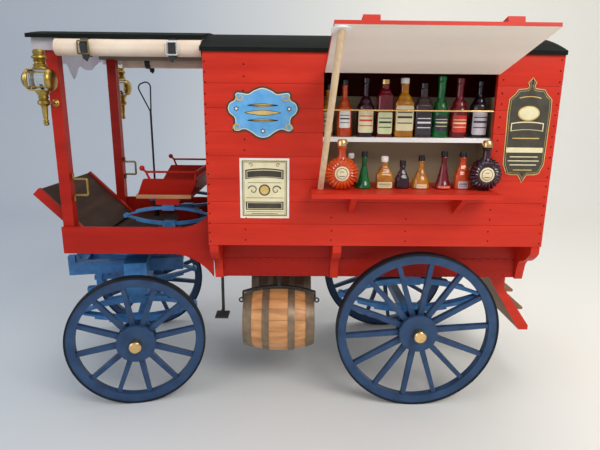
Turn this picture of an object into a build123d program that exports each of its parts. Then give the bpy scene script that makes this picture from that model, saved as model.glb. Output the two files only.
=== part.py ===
"""Medicine show wagon, a 1:8 scale model, in millimetres.

The driver sits at the -X end and the rear door is at the +X end. The serving hatch is in the -Y side.
Z is up and the wheels stand on Z = 0. The model is drawn about its own centreline and moved at the end,
so that the origin is under the middle of the whole.
"""

import os
from math import asin, atan, cos, radians, sin, sqrt, tan

from build123d import *

# Wheels and axles
rear_axle_x = 122.5
front_axle_x = -173.0
rear_wheel_radius = 80.0
front_wheel_radius = 67.0
rear_spokes = 14
front_spokes = 12
rear_spoke_phase = 4.7
front_spoke_phase = 9.3
track = 187.0
steer_angle = 11.3
tyre_width = 9.0
tyre_thickness = 1.7
felloe_depth = 8.0
felloe_width = 7.6
spoke_hub_width = 5.6
spoke_tip_width = 4.2
spoke_thickness = 5.0
hub_disc_radius = 18.7
hub_disc_thickness = 4.0
hub_length = 17.0
nave_radius = 12.0
axle_arm_radius = 4.0
axle_bar = 9.0
axle_collar_radius = 6.5
running_clearance = 0.06
end_clearance = 0.3
axle_nut_radius = 5.8
axle_nut_length = 8.3
axle_nut_chamfer = 0.8

# Box
wall = 4.0
box_front_x = -78.0
box_rear_x = 232.0
box_half_width = 99.0
box_floor_z = 168.2
lower_half_width = 69.5
lower_bottom_z = 127.4
seat_gap = 0.2

# Brackets under the overhang; their ogee edge is given by distance from the centreline and height
bracket_thickness = 8.0
bracket_middle_x = 41.0
bracket_setback = 0.5
bracket_lip_z = 161.0
bracket_bulge = (91.5, 153.8)
bracket_waist = (80.0, 148.4)
bracket_cove = (75.9, 144.4)
bracket_shin = (74.0, 138.5)
bracket_foot = 71.5
bracket_foot_z = 126.6

# Roof: one arch over the box and a flatter one over the driver
roof_thickness = 3.2
roof_crown_z = 363.4
box_roof_radius = 259.4
box_roof_half_width = 101.5
canopy_roof_radius = 385.0
canopy_half_width = 86.0
roof_front_x = -233.5
roof_overhang_front = 2.6
roof_overhang_rear = 1.0

# Driver's place
driver_half_width = 82.5
board_front_x = -221.6
board_bottom_z = 154.0
board_top_z = 180.0
board_sweep_x = -110.9
board_sweep_top_z = 197.8
board_sweep_low_z = 131.2
driver_floor_top_z = 160.0
post_x = -216.1
post_size_x = 10.2
post_size_y = 10.0
post_top_z = 345.0
header_front_x = -230.1
header_width = 8.0
toe_foot_x = -197.7
toe_angle = 45.0
toe_length = 74.4
toe_half_width = 64.0
toe_board_thickness = 4.0
toe_rail_width = 5.0
toe_rail_below = 6.0
toe_rail_above = 2.3
grab_z = 217.5
grab_height = 15.5
grab_reach = 13.0
grab_rod = 1.2
grab_foot = 5.5

# Seat
seat_front_x = -158.5
seat_depth = 55.0
seat_board_z = 202.5
seat_board_thickness = 4.0
seat_half_width = 51.0
seat_wing_height = 16.0
seat_wing_flare = 8.0
seat_wing_rake = 10.0
seat_wing_round = 3.0
seat_back_lean = 7.5
seat_panel = 2.6
seat_rail_rise = 8.0
seat_rail_rod = 1.1
seat_rail_setback = 3.5
seat_scroll = 3.6
seat_ball_radius = 2.6
seat_spring_x = -127.5
seat_spring_y = 46.0
seat_spring_length = 88.0
seat_spring_height = 23.5
seat_spring_width = 5.0
seat_spring_leaf = 1.5
seat_spring_drop = 6.5
seat_block_length = 24.0
seat_block_width = 9.0

# Running springs
spring_y = 60.0
spring_width = 9.0
spring_leaf = 2.0
spring_leaves = 3
spring_eye_radius = 3.0
spring_clamp_length = 16.0
spring_clamp_thickness = 2.0
front_spring_length = 114.0
front_spring_height = 33.0
rear_spring_length = 145.0
rear_spring_height = 41.5

# Fore carriage
turntable_radius = 38.0
turntable_inner_radius = 27.0
turntable_plate = 3.6
turntable_gap = 0.3
transom_length = 90.0
transom_width = 24.0
bolster_width = 22.0
kingpin_radius = 3.5
futchell_y = 20.0
futchell_width = 8.0
futchell_depth = 14.0
futchell_front = 73.0
futchell_rear = 46.0
futchell_top_z = 129.5
futchell_knob = 7.0
pole_pin_radius = 2.0
hound_front = 56.5
hound_strut_x = (-46.5, -40.5)
hound_z = 95.0
hound_size = 5.0

# Serving hatch
hatch_x = (25.5, 176.5)
hatch_bottom_z = 218.2
hatch_top_z = 324.5
counter_x = (15.5, 178.5)
counter_reach = 31.0
counter_thickness = 4.2
counter_bracket_x = (52.0, 148.0)
counter_bracket_size = (25.0, 18.0)
counter_bracket_thickness = 5.0
shelf_top_z = 268.0
shelf_thickness = 4.0
shelf_depth = 34.0
shelf_bearing = 3.0
shelf_back_top_z = 304.0
shelf_back_thickness = 2.0
bottle_rail_z = 291.8
bottle_rail_radius = 0.8
lid_length = 99.8
lid_thickness = 2.6
lid_angle = 14.8
lid_clearance = 0.5
lid_knuckle_radius = 1.1
lid_knuckle_length = 16.0
lid_batten_x = (50.5, 146.0)
lid_batten_size = (11.5, 4.0)
prop_radius = 2.6
prop_foot_x = 24.0
prop_foot_reach = 5.0  # out from the box side
prop_head_x = 31.3
prop_head_reach = 91.0
prop_socket_radius = 7.0
prop_socket_thickness = 1.4

# Rear door and steps
door_half_width = 36.0
door_bottom_z = 134.0
door_top_z = 306.0
door_clearance = 0.5
door_knob_radius = 3.2
door_strap_length = 26.0
step_half_width = 45.0
step_stringer = 5.0
step_top_x = (204.0, 227.0)
step_kink_z = 106.5
step_bottom_x = (248.0, 258.0)
step_bottom_z = 58.0
step_heel_z = 63.0
step_treads = 3
step_tread_thickness = 2.6
step_tread_depth = 18.0
step_back_thickness = 2.0

# Hung under the body
barrel_x = -14.5
barrel_y = 57.0
barrel_z = 76.0
barrel_length = 73.0
barrel_bulge_radius = 33.0
barrel_end_radius = 26.0
barrel_hoops = ((-32.0, 9.0), (-13.0, 7.0), (13.0, 7.0), (32.0, 9.0))  # place along the barrel, width
hoop_thickness = 0.7
hanger_width = 5.0
hanger_thickness = 1.6
iron_step_x = -72.0
iron_step_rod = 1.5
iron_step_z = 90.0
iron_step_plate_x = (-77.5, -64.5)
iron_step_plate_y = (-86.0, -70.0)
iron_step_plate_thickness = 1.6

# Coach lamps and whip
lamp_y = 100.0
lamp_z = 314.4
lamp_wall_half = 9.0  # half the height of the glass between the plates
lamp_wall_thickness = 0.9
lamp_plate_x = (-10.6, 7.0)
lamp_plate_half_width = 3.5
lamp_rim = ((-10.6, 7.6), (-10.6, 9.4), (-8.4, 9.4), (-8.4, 7.6))
# Profiles about the lamp's own centre: the dished back along X, chimney and stem about the upright
lamp_dish = ((5.8, 0.0), (5.8, 8.6), (7.2, 9.4), (9.4, 9.0), (12.4, 5.6), (13.8, 0.0))
lamp_chimney = (
    (0.0, 8.6), (6.2, 8.6), (5.0, 10.6), (5.6, 12.0), (4.3, 14.1), (4.3, 16.2), (6.3, 18.2), (4.6, 19.9),
    (5.0, 22.8), (3.8, 24.7), (0.0, 24.7),
)
lamp_stem = (
    (0.0, -8.6), (6.0, -8.6), (5.4, -10.6), (3.7, -13.6), (4.3, -14.8), (3.4, -16.6), (5.2, -18.0),
    (5.2, -20.2), (3.1, -21.6), (2.5, -26.5), (1.8, -32.6), (2.4, -34.6), (2.4, -36.8), (1.2, -38.4),
    (0.0, -38.4),
)
lamp_lens = ((-16.5, 0.0), (-15.6, 4.0), (-13.4, 6.9), (-10.6, 7.5), (5.6, 7.0), (5.6, 0.0))
lamp_arm_drop = 19.1
lamp_arm_radius = 1.3
lamp_rose_radius = 3.2
lamp_rose_thickness = 2.2
whip_x = -170.5
whip_y = 61.0
whip_radius = 1.2
whip_top_z = 289.0
whip_socket_radius = 3.0
whip_socket_rise = 10.0
whip_cord_radius = 0.8
whip_loop_bend = 5.5
whip_loop = ((-0.5, -2.0), (-14.5, 27.0), (1.8, 33.5), (0.5, -2.0))  # x and z from the top of the stock

# Curtains
curtain_radius = 7.4
curtain_z = 342.6
curtain_front_x = -207.0
curtain_rear_x = -81.0
valance_x = -231.5
valance_thickness = 1.2
valance_half_width = 81.5
# Half of the valance's lower edge: the share of its half width, and the drop from its top
valance_edge = (
    (0.0, 32.6), (0.05, 29.0), (0.147, 19.7), (0.23, 17.2), (0.34, 19.6), (0.45, 20.6), (0.62, 19.2),
    (0.75, 13.6), (0.87, 9.2), (1.0, 8.5),
)

# Bottles on the shelf: x, body radius, body height, neck radius, total height
upper_bottles = (
    (30.5, 4.6, 26.0, 2.4, 46.0),
    (45.5, 7.0, 26.0, 2.6, 50.0),
    (64.5, 8.0, 26.0, 2.6, 52.0),
    (81.7, 7.4, 27.0, 2.6, 51.0),
    (99.2, 8.4, 30.0, 2.8, 52.0),
    (116.8, 7.6, 27.0, 2.6, 48.0),
    (132.6, 7.0, 27.0, 2.8, 53.0),
    (149.2, 7.6, 30.0, 2.6, 51.5),
    (167.5, 7.8, 29.0, 2.6, 51.0),
)
upper_bottle_inset = 15.0  # from the outside of the box side
# Bottles on the counter: x, inset from the box side's outside, foot radius, shoulder radius,
# shoulder height, neck radius, total height
lower_bottles = (
    (53.5, 19.0, 6.0, 5.0, 18.0, 2.2, 30.0),
    (63.6, 2.0, 6.8, 3.6, 14.0, 2.2, 33.5),
    (82.0, 2.0, 7.4, 7.4, 14.0, 2.6, 29.0),
    (98.6, 3.0, 6.6, 5.6, 10.0, 2.2, 27.0),
    (115.6, 3.0, 7.6, 5.0, 12.0, 2.4, 26.0),
    (136.0, 3.0, 7.4, 3.8, 15.0, 2.4, 34.0),
    (153.0, 3.0, 6.6, 5.6, 14.0, 2.4, 33.0),
)
sunburst_x = (42.3, 170.0)
sunburst_inset = -7.5
sunburst_radius = 14.5
sunburst_thickness = 11.0
sunburst_height = 44.0

pieces = {}


def keep(part, label):
    """Name a finished piece and hold it for export."""
    part.label = label
    pieces[label] = part


def board(x, y, z, base=Plane.XY, mode=Mode.ADD):
    """A plain board between two limits each way, in the axes of the base plane."""
    centre = Location(((x[0] + x[1]) / 2, (y[0] + y[1]) / 2, (z[0] + z[1]) / 2))
    with Locations(base.location * centre):
        Box(x[1] - x[0], y[1] - y[0], z[1] - z[0], mode=mode)


def side_plane(y, base=Plane.XY):
    """The upright plane along the base's X at this y, looking along +Y, for profiles in x and z."""
    return Plane(origin=base.from_local_coords((0, y, 0)), x_dir=base.x_dir, z_dir=-base.y_dir)


def rod(start, end, radius, base=Plane.XY, mode=Mode.ADD):
    """A round bar between two points in the axes of the base plane."""
    start = base.from_local_coords(Vector(*start))
    end = base.from_local_coords(Vector(*end))
    with BuildSketch(Plane(origin=start, z_dir=end - start)) as section:
        Circle(radius)
    extrude(section.sketch, amount=(end - start).length, mode=mode)


def arch_z(radius, y):
    """Height of a roof arch of this radius at a distance from the centreline."""
    return roof_crown_z - radius + sqrt(radius**2 - y**2)


def under_roof_z(y):
    """Height of the underside of the box roof."""
    return arch_z(box_roof_radius, 0) - box_roof_radius + sqrt((box_roof_radius - roof_thickness) ** 2 - y**2)


def under_canopy_z(y):
    """Height of the underside of the driver's roof."""
    return roof_crown_z - canopy_roof_radius + sqrt((canopy_roof_radius - roof_thickness) ** 2 - y**2)


def roof_shell(x, radius, half_width):
    """An arched sheet along X, as thick as the roof."""
    inner = radius - roof_thickness
    centre_z = roof_crown_z - radius
    with BuildSketch(Plane.YZ.offset(x[0])) as section:
        with BuildLine():
            outer_edge = [(y, centre_z + sqrt(radius**2 - y**2)) for y in (-half_width, 0, half_width)]
            inner_edge = [(y, centre_z + sqrt(inner**2 - y**2)) for y in (-half_width, 0, half_width)]
            ThreePointArc(*outer_edge)
            ThreePointArc(*inner_edge)
            Line(outer_edge[0], inner_edge[0])
            Line(outer_edge[2], inner_edge[2])
        make_face()
    extrude(section.sketch, amount=x[1] - x[0])


def trim_to_roof():
    """Cut the current piece off just under the box roof."""
    radius = box_roof_radius - roof_thickness - seat_gap
    with BuildSketch(Plane.YZ.offset(box_front_x)) as under_arch:
        with Locations((0, roof_crown_z - box_roof_radius)):
            Circle(radius)
    extrude(under_arch.sketch, amount=box_rear_x - box_front_x, mode=Mode.INTERSECT)


def elliptic_spring(centre, length, height, width, leaf, leaves, clamp_length, base=Plane.XY):
    """A full elliptic leaf spring along X, with its eyes and the clamp plates at top and bottom."""
    rise = height / 2 - spring_clamp_thickness - leaf * (leaves - 0.5)
    radius = (length**2 / 4 + rise**2) / (2 * rise)
    eye = min(spring_eye_radius, leaf * 1.5)

    def spring_plane(half_width):
        return Plane(
            origin=base.from_local_coords((centre[0], centre[1] + half_width, centre[2])),
            x_dir=base.x_dir,
            z_dir=-base.y_dir,
        )

    with BuildSketch(spring_plane(width / 2)) as side_view:
        for up in (1, -1):
            for number in range(leaves):
                reach = length / 2 * (1 - 0.24 * number)
                inner = radius + (number - 0.5) * leaf
                outer = inner + leaf
                angle = asin(reach / (inner + leaf / 2))

                def point(r, a):
                    return (r * sin(a), up * (rise - radius + r * cos(a)))

                with BuildLine():
                    ThreePointArc(point(inner, -angle), point(inner, 0), point(inner, angle))
                    ThreePointArc(point(outer, -angle), point(outer, 0), point(outer, angle))
                    Line(point(inner, -angle), point(outer, -angle))
                    Line(point(inner, angle), point(outer, angle))
                make_face()
        with Locations((-length / 2, 0), (length / 2, 0)):
            Circle(eye)
    extrude(side_view.sketch, amount=width)
    clamp_depth = spring_clamp_thickness + leaf * leaves + 1.0
    with BuildSketch(spring_plane(width / 2 + 1.2)) as clamps:
        for up in (1, -1):
            with Locations((0, up * (height - clamp_depth) / 2)):
                Rectangle(clamp_length, clamp_depth)
    extrude(clamps.sketch, amount=width + 2.4)


def make_wheel(name, hub, radius, spokes, phase):
    """A wooden wheel and its tyre; the hub plane lies in the middle of the tread and points outward."""
    felloe_outer = radius - tyre_thickness
    felloe_inner = felloe_outer - felloe_depth
    with BuildPart() as wheel:
        with BuildSketch(hub.offset(-felloe_width / 2)):
            Circle(felloe_outer)
            Circle(felloe_inner, mode=Mode.SUBTRACT)
        extrude(amount=felloe_width)
        with BuildSketch(hub.offset(-spoke_thickness / 2)):
            with PolarLocations(0, spokes, start_angle=phase):
                Polygon(
                    (nave_radius - 4, -spoke_hub_width / 2),
                    (felloe_inner + 1, -spoke_tip_width / 2),
                    (felloe_inner + 1, spoke_tip_width / 2),
                    (nave_radius - 4, spoke_hub_width / 2),
                )
        extrude(amount=spoke_thickness)
        with BuildSketch(hub.offset(-hub_length / 2)):
            Circle(nave_radius)
        extrude(amount=hub_length)
        for start in (-hub_length / 2, hub_length / 2 - hub_disc_thickness):
            with BuildSketch(hub.offset(start)):
                Circle(hub_disc_radius)
            extrude(amount=hub_disc_thickness)
        with BuildSketch(hub.offset(-hub_length / 2)):
            Circle(axle_arm_radius + running_clearance)
        extrude(amount=hub_length, mode=Mode.SUBTRACT)
    keep(wheel.part, f"wheel_{name}")

    with BuildPart() as tyre:
        with BuildSketch(hub.offset(-tyre_width / 2)):
            Circle(radius)
            Circle(felloe_outer, mode=Mode.SUBTRACT)
        extrude(amount=tyre_width)
    keep(tyre.part, f"tyre_{name}")


def make_axle(name, base, height):
    """A square axle bar with a round arm and collar at each end, and the two brass nuts that close it."""
    hub_inner = track / 2 - hub_length / 2
    hub_outer = track / 2 + hub_length / 2
    collar_length = 3.0
    bar_end = hub_inner - end_clearance - collar_length
    nut_start = hub_outer + end_clearance
    arm_end = nut_start + axle_nut_length / 2
    with BuildPart() as axle:
        half = axle_bar / 2
        board((-half, half), (-bar_end, bar_end), (height - half, height + half), base)
        for side in (-1, 1):
            arm_start = (0, side * bar_end, height)
            rod(arm_start, (0, side * (bar_end + collar_length), height), axle_collar_radius, base)
            rod(arm_start, (0, side * arm_end, height), axle_arm_radius, base)
    keep(axle.part, f"{name}_axle")

    with BuildPart() as nuts:
        for side in (-1, 1):
            start = (0, side * nut_start, height)
            rod(start, (0, side * (nut_start + axle_nut_length), height), axle_nut_radius, base)
            rod(start, (0, side * arm_end, height), axle_arm_radius, base, Mode.SUBTRACT)
        flats = nuts.faces().filter_by(GeomType.PLANE)
        ends = flats.group_by(lambda face: abs(base.to_local_coords(face.center()).Y))[-1]
        chamfer(ends.edges(), axle_nut_chamfer)
    keep(nuts.part, f"{name}_axle_nuts")


# Lower body: its side boards, and the driver's wider side boards that sweep up and down to meet the box
lower_top_z = box_floor_z + wall
sweep_low_x = board_sweep_x - 1.0
sweep_top_middle = (
    board_sweep_x + 0.62 * (box_front_x - board_sweep_x),
    board_top_z + 0.3 * (board_sweep_top_z - board_top_z),
)
sweep_low_middle = (
    sweep_low_x + 0.6 * (box_front_x - sweep_low_x),
    board_bottom_z - 0.38 * (board_bottom_z - board_sweep_low_z),
)
for name, side in (("left", -1), ("right", 1)):
    with BuildPart() as side_board:
        edges = sorted((side * (lower_half_width - wall), side * lower_half_width))
        board((box_front_x, box_rear_x), edges, (lower_bottom_z, lower_top_z))
        with BuildSketch(side_plane(max(side * driver_half_width, side * (driver_half_width - wall)))):
            with BuildLine():
                sweep_top = (box_front_x, board_sweep_top_z)
                sweep_low = (box_front_x, board_sweep_low_z)
                Line((board_front_x, board_bottom_z), (board_front_x, board_top_z))
                Line((board_front_x, board_top_z), (board_sweep_x, board_top_z))
                ThreePointArc((board_sweep_x, board_top_z), sweep_top_middle, sweep_top)
                Line(sweep_top, sweep_low)
                ThreePointArc(sweep_low, sweep_low_middle, (sweep_low_x, board_bottom_z))
                Line((sweep_low_x, board_bottom_z), (board_front_x, board_bottom_z))
            make_face()
        extrude(amount=wall)
    keep(side_board.part, f"lower_side_{name}")

lower_inner = lower_half_width - wall
driver_inner = driver_half_width - wall
lower_y = (-lower_inner, lower_inner)
driver_y = (-driver_inner, driver_inner)
rear_wall_x = (box_rear_x - wall, box_rear_x)
doorway_y = (-door_half_width, door_half_width)
with BuildPart() as end_panels:
    board((box_front_x, box_front_x + wall), lower_y, (lower_bottom_z, lower_top_z))
    board(rear_wall_x, lower_y, (lower_bottom_z, lower_top_z))
    board(rear_wall_x, doorway_y, (door_bottom_z, lower_top_z), mode=Mode.SUBTRACT)
keep(end_panels.part, "lower_end_panels")

with BuildPart() as lower_floor:
    board((box_front_x + wall, box_rear_x - wall), lower_y, (lower_bottom_z, lower_bottom_z + wall))
keep(lower_floor.part, "lower_floor")

with BuildPart() as driver_floor:
    board((board_front_x, box_front_x), driver_y, (driver_floor_top_z - wall, driver_floor_top_z))
keep(driver_floor.part, "driver_floor")

# Overhang boards beside the lower body, each carried by three shaped brackets
bracket_x = (box_front_x, bracket_middle_x - bracket_thickness / 2, box_rear_x - bracket_thickness)
reach = box_half_width - bracket_setback
with BuildPart() as overhang:
    for side in (-1, 1):
        edges = sorted((side * lower_half_width, side * (box_half_width - wall)))
        board((box_front_x, box_rear_x), edges, (box_floor_z, box_floor_z + wall))
    for start in bracket_x:
        with BuildSketch(Plane.YZ.offset(start)):
            with BuildLine():
                Line((lower_half_width, box_floor_z), (reach, box_floor_z))
                Line((reach, box_floor_z), (reach, bracket_lip_z))
                ThreePointArc((reach, bracket_lip_z), bracket_bulge, bracket_waist)
                ThreePointArc(bracket_waist, bracket_cove, bracket_shin)
                Line(bracket_shin, (bracket_foot, bracket_foot_z))
                Line((bracket_foot, bracket_foot_z), (lower_half_width, bracket_foot_z))
                Line((lower_half_width, bracket_foot_z), (lower_half_width, box_floor_z))
            make_face()
            mirror(about=Plane.YZ)
        extrude(amount=bracket_thickness)
keep(overhang.part, "overhang_brackets")

# Box walls
with BuildPart() as plain_side:
    board(
        (box_front_x, box_rear_x),
        (box_half_width - wall, box_half_width),
        (box_floor_z, under_roof_z(box_half_width - wall) + 5),
    )
    trim_to_roof()
keep(plain_side.part, "box_side_right")

with BuildPart() as hatch_side:
    board(
        (box_front_x, box_rear_x),
        (-box_half_width, -box_half_width + wall),
        (box_floor_z, under_roof_z(box_half_width - wall) + 5),
    )
    trim_to_roof()
    hatch_wall_y = (-box_half_width, -box_half_width + wall)
    board(hatch_x, hatch_wall_y, (hatch_bottom_z, hatch_top_z), mode=Mode.SUBTRACT)
keep(hatch_side.part, "box_side_left")

box_inner = box_half_width - wall
for name, start in (("front", box_front_x), ("rear", box_rear_x - wall)):
    with BuildPart() as end_wall:
        board((start, start + wall), (-box_inner, box_inner), (box_floor_z + wall, roof_crown_z))
        trim_to_roof()
        if name == "rear":
            board(rear_wall_x, doorway_y, (box_floor_z + wall, door_top_z), mode=Mode.SUBTRACT)
    keep(end_wall.part, f"box_{name}_wall")

# Roof
with BuildPart() as roof:
    roof_step_x = box_front_x - roof_overhang_front
    roof_shell((roof_step_x, box_rear_x + roof_overhang_rear), box_roof_radius, box_roof_half_width)
    roof_shell((roof_front_x, roof_step_x), canopy_roof_radius, canopy_half_width)
keep(roof.part, "roof")

# Posts and the rails on top of them
post_front_x = post_x - post_size_x / 2
post_rear_x = post_x + post_size_x / 2
post_inner_y = driver_inner - post_size_y
with BuildPart() as posts:
    for side in (-1, 1):
        board(
            (post_front_x, post_rear_x),
            sorted((side * post_inner_y, side * driver_inner)),
            (driver_floor_top_z, post_top_z),
        )
keep(posts.part, "posts")

with BuildPart() as headers:
    for side in (-1, 1):
        edges = sorted((side * (driver_inner - header_width), side * driver_inner))
        canopy_end_x = box_front_x - roof_overhang_front - seat_gap
        board((header_front_x, canopy_end_x), edges, (post_top_z, under_canopy_z(driver_inner) - seat_gap))
        board((canopy_end_x, box_front_x), edges, (post_top_z, under_roof_z(driver_inner) - seat_gap))
keep(headers.part, "header_rails")

# Inclined toe board between its side rails
toe_plane = Plane(
    origin=(toe_foot_x, 0, driver_floor_top_z),
    x_dir=(-cos(radians(toe_angle)), 0, sin(radians(toe_angle))),
    z_dir=(sin(radians(toe_angle)), 0, cos(radians(toe_angle))),
)
toe_inner = toe_half_width - toe_rail_width
toe_floor_run = toe_board_thickness / tan(radians(toe_angle))
with BuildPart() as toe_board:
    board((toe_floor_run, toe_length), (-toe_inner, toe_inner), (-toe_board_thickness, 0), toe_plane)
    board(
        (toe_foot_x - 20, toe_foot_x + 20),
        (-toe_inner, toe_inner),
        (driver_floor_top_z - 20, driver_floor_top_z),
        mode=Mode.SUBTRACT,
    )
keep(toe_board.part, "toe_board")

with BuildPart() as toe_rails:
    for side in (-1, 1):
        board(
            (-toe_rail_above, toe_length),
            sorted((side * toe_inner, side * toe_half_width)),
            (-toe_rail_below, toe_rail_above),
            toe_plane,
        )
    board(
        (toe_foot_x - 40, toe_foot_x + 40),
        (-toe_half_width, toe_half_width),
        (driver_floor_top_z - 40, driver_floor_top_z),
        mode=Mode.SUBTRACT,
    )
keep(toe_rails.part, "toe_board_rails")

# Brass grab handles on the rear faces of the posts
with BuildPart() as grab_handles:
    for side in (-1, 1):
        y = side * (driver_inner - post_size_y / 2)
        top = grab_z + grab_height / 2
        bottom = grab_z - grab_height / 2
        start_x = post_rear_x + grab_rod + 0.1
        with BuildLine():
            FilletPolyline(
                (start_x, y, top + grab_foot),
                (start_x, y, top),
                (start_x + grab_reach, y, top),
                (start_x + grab_reach, y, bottom),
                (start_x, y, bottom),
                (start_x, y, bottom - grab_foot),
                radius=1.6,
            )
        with BuildSketch(Plane(origin=(start_x, y, top + grab_foot), z_dir=(0, 0, -1))):
            Circle(grab_rod)
        sweep()
keep(grab_handles.part, "grab_handles")

# Seat: board, flared sides and back with their rails, on two full elliptic springs
seat_rear_x = seat_front_x + seat_depth
seat_top_z = seat_board_z + seat_board_thickness
with BuildPart() as seat_board:
    board((seat_front_x, seat_rear_x), (-seat_half_width, seat_half_width), (seat_board_z, seat_top_z))
keep(seat_board.part, "seat_board")

wing_tilt = atan(seat_wing_flare / seat_wing_height)
wing_slope_length = seat_wing_height / cos(wing_tilt)
back_tilt = atan(seat_back_lean / seat_wing_height)
back_slope_length = seat_wing_height / cos(back_tilt)
wing_top_z = seat_top_z + seat_wing_height
wing_top_y = seat_half_width + seat_wing_flare
seat_edge = seat_panel * 1.5
with BuildPart() as seat_body:
    for side in (-1, 1):
        wing_plane = Plane(
            origin=(0, side * seat_half_width, seat_top_z),
            x_dir=(1, 0, 0),
            z_dir=(0, -cos(wing_tilt), side * sin(wing_tilt)),
        )
        with BuildSketch(wing_plane) as wing:
            Polygon(
                (seat_front_x, -seat_edge),
                (seat_rear_x - seat_edge * seat_back_lean / seat_wing_height, -seat_edge),
                (seat_rear_x + seat_back_lean, wing_slope_length),
                (seat_front_x + seat_wing_rake, wing_slope_length),
            )
            fillet(wing.vertices().sort_by(Axis.Y)[-2:].sort_by(Axis.X)[:1], seat_wing_round)
        extrude(amount=side * seat_panel)
    back_plane = Plane(
        origin=(seat_rear_x, 0, seat_top_z),
        x_dir=(0, 1, 0),
        z_dir=(cos(back_tilt), 0, -sin(back_tilt)),
    )
    with BuildSketch(back_plane):
        low_y = seat_half_width - seat_edge * seat_wing_flare / seat_wing_height
        Polygon(
            (-low_y, -seat_edge),
            (low_y, -seat_edge),
            (wing_top_y, back_slope_length),
            (-wing_top_y, back_slope_length),
        )
    extrude(amount=-seat_panel)
    split(bisect_by=Plane.XY.offset(seat_top_z), keep=Keep.TOP)
    rail_z = wing_top_z + seat_rail_rise
    rail_y = wing_top_y - seat_rail_rod
    rail_front_x = seat_front_x + seat_wing_rake + seat_rail_setback
    rail_rear_x = seat_rear_x + seat_back_lean
    for side in (-1, 1):
        rod((rail_front_x, side * rail_y, rail_z), (rail_rear_x, side * rail_y, rail_z), seat_rail_rod)
        scroll = (
            (rail_front_x + seat_scroll, side * (rail_y - seat_rail_rod), wing_top_z - seat_rail_rod),
            (rail_front_x, side * rail_y, rail_z),
            (rail_front_x - seat_scroll, side * rail_y, rail_z + seat_scroll),
        )
        rod(scroll[0], scroll[1], seat_rail_rod)
        rod(scroll[1], scroll[2], seat_rail_rod)
        with Locations(scroll[1]):
            Sphere(seat_rail_rod)
        with Locations(scroll[2]):
            Sphere(seat_ball_radius)
        rod(
            (rail_rear_x - seat_rail_rod, side * rail_y, wing_top_z - seat_rail_rod),
            (rail_rear_x, side * rail_y, rail_z),
            seat_rail_rod,
        )
        with Locations((rail_rear_x, side * rail_y, rail_z)):
            Sphere(seat_rail_rod)
    rod((rail_rear_x, -rail_y, rail_z), (rail_rear_x, rail_y, rail_z), seat_rail_rod)
keep(seat_body.part, "seat_body")

seat_spring_top = seat_board_z - seat_spring_drop
seat_spring_z = seat_spring_top - seat_spring_height / 2
with BuildPart() as seat_springs:
    for side in (-1, 1):
        elliptic_spring(
            (seat_spring_x, side * seat_spring_y, seat_spring_z),
            seat_spring_length,
            seat_spring_height,
            seat_spring_width,
            seat_spring_leaf,
            2,
            spring_clamp_length * 0.75,
        )
keep(seat_springs.part, "seat_springs")

with BuildPart() as seat_blocks:
    for side in (-1, 1):
        half = seat_block_width / 2
        y_limits = sorted((side * seat_spring_y - half, side * seat_spring_y + half))
        x_limits = (seat_spring_x - seat_block_length / 2, seat_spring_x + seat_block_length / 2)
        board(x_limits, y_limits, (seat_spring_top, seat_board_z))
        board(x_limits, y_limits, (driver_floor_top_z, seat_spring_top - seat_spring_height))
keep(seat_blocks.part, "seat_blocks")

# Turntable: the upper ring, its transom and the kingpin belong to the body
fore = Plane(
    origin=(front_axle_x, 0, 0),
    x_dir=(cos(radians(steer_angle)), sin(radians(steer_angle)), 0),
    z_dir=(0, 0, 1),
)
ring_top_z = driver_floor_top_z - wall - 10.0
ring_meet_z = ring_top_z - turntable_plate
lower_ring_bottom_z = ring_meet_z - turntable_gap - turntable_plate
bolster_bottom_z = front_wheel_radius + axle_bar / 2 + front_spring_height
with BuildPart() as turntable_top:
    half = transom_width / 2
    board(
        (front_axle_x - half, front_axle_x + half),
        (-transom_length / 2, transom_length / 2),
        (ring_top_z, driver_floor_top_z - wall),
    )
    with BuildSketch(Plane.XY.offset(ring_meet_z)):
        with Locations((front_axle_x, 0)):
            Circle(turntable_radius)
            Circle(turntable_inner_radius, mode=Mode.SUBTRACT)
    extrude(amount=turntable_plate)
    rod((front_axle_x, 0, bolster_bottom_z - 4), (front_axle_x, 0, ring_top_z + 1), kingpin_radius)
    with BuildSketch(Plane.XY.offset(bolster_bottom_z - 4)):
        with Locations((front_axle_x, 0)):
            RegularPolygon(kingpin_radius * 1.7, 6)
    extrude(amount=3.7)
keep(turntable_top.part, "turntable_top")

with BuildPart() as turntable_bottom:
    half = bolster_width / 2
    reach = spring_y + spring_width / 2 + 2
    board((-half, half), (-reach, reach), (bolster_bottom_z, lower_ring_bottom_z), fore)
    with BuildSketch(Plane.XY.offset(lower_ring_bottom_z)):
        with Locations((front_axle_x, 0)):
            Circle(turntable_radius)
            Circle(turntable_inner_radius, mode=Mode.SUBTRACT)
    extrude(amount=turntable_plate)
    for side in (-1, 1):
        low = futchell_top_z - futchell_depth
        edges = sorted((side * (futchell_y - futchell_width / 2), side * (futchell_y + futchell_width / 2)))
        board((-half, half), edges, (low, futchell_top_z), fore, Mode.SUBTRACT)
    rod(
        (0, 0, bolster_bottom_z),
        (0, 0, lower_ring_bottom_z + turntable_plate),
        kingpin_radius + running_clearance,
        fore,
        Mode.SUBTRACT,
    )
keep(turntable_bottom.part, "turntable_bottom")

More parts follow.
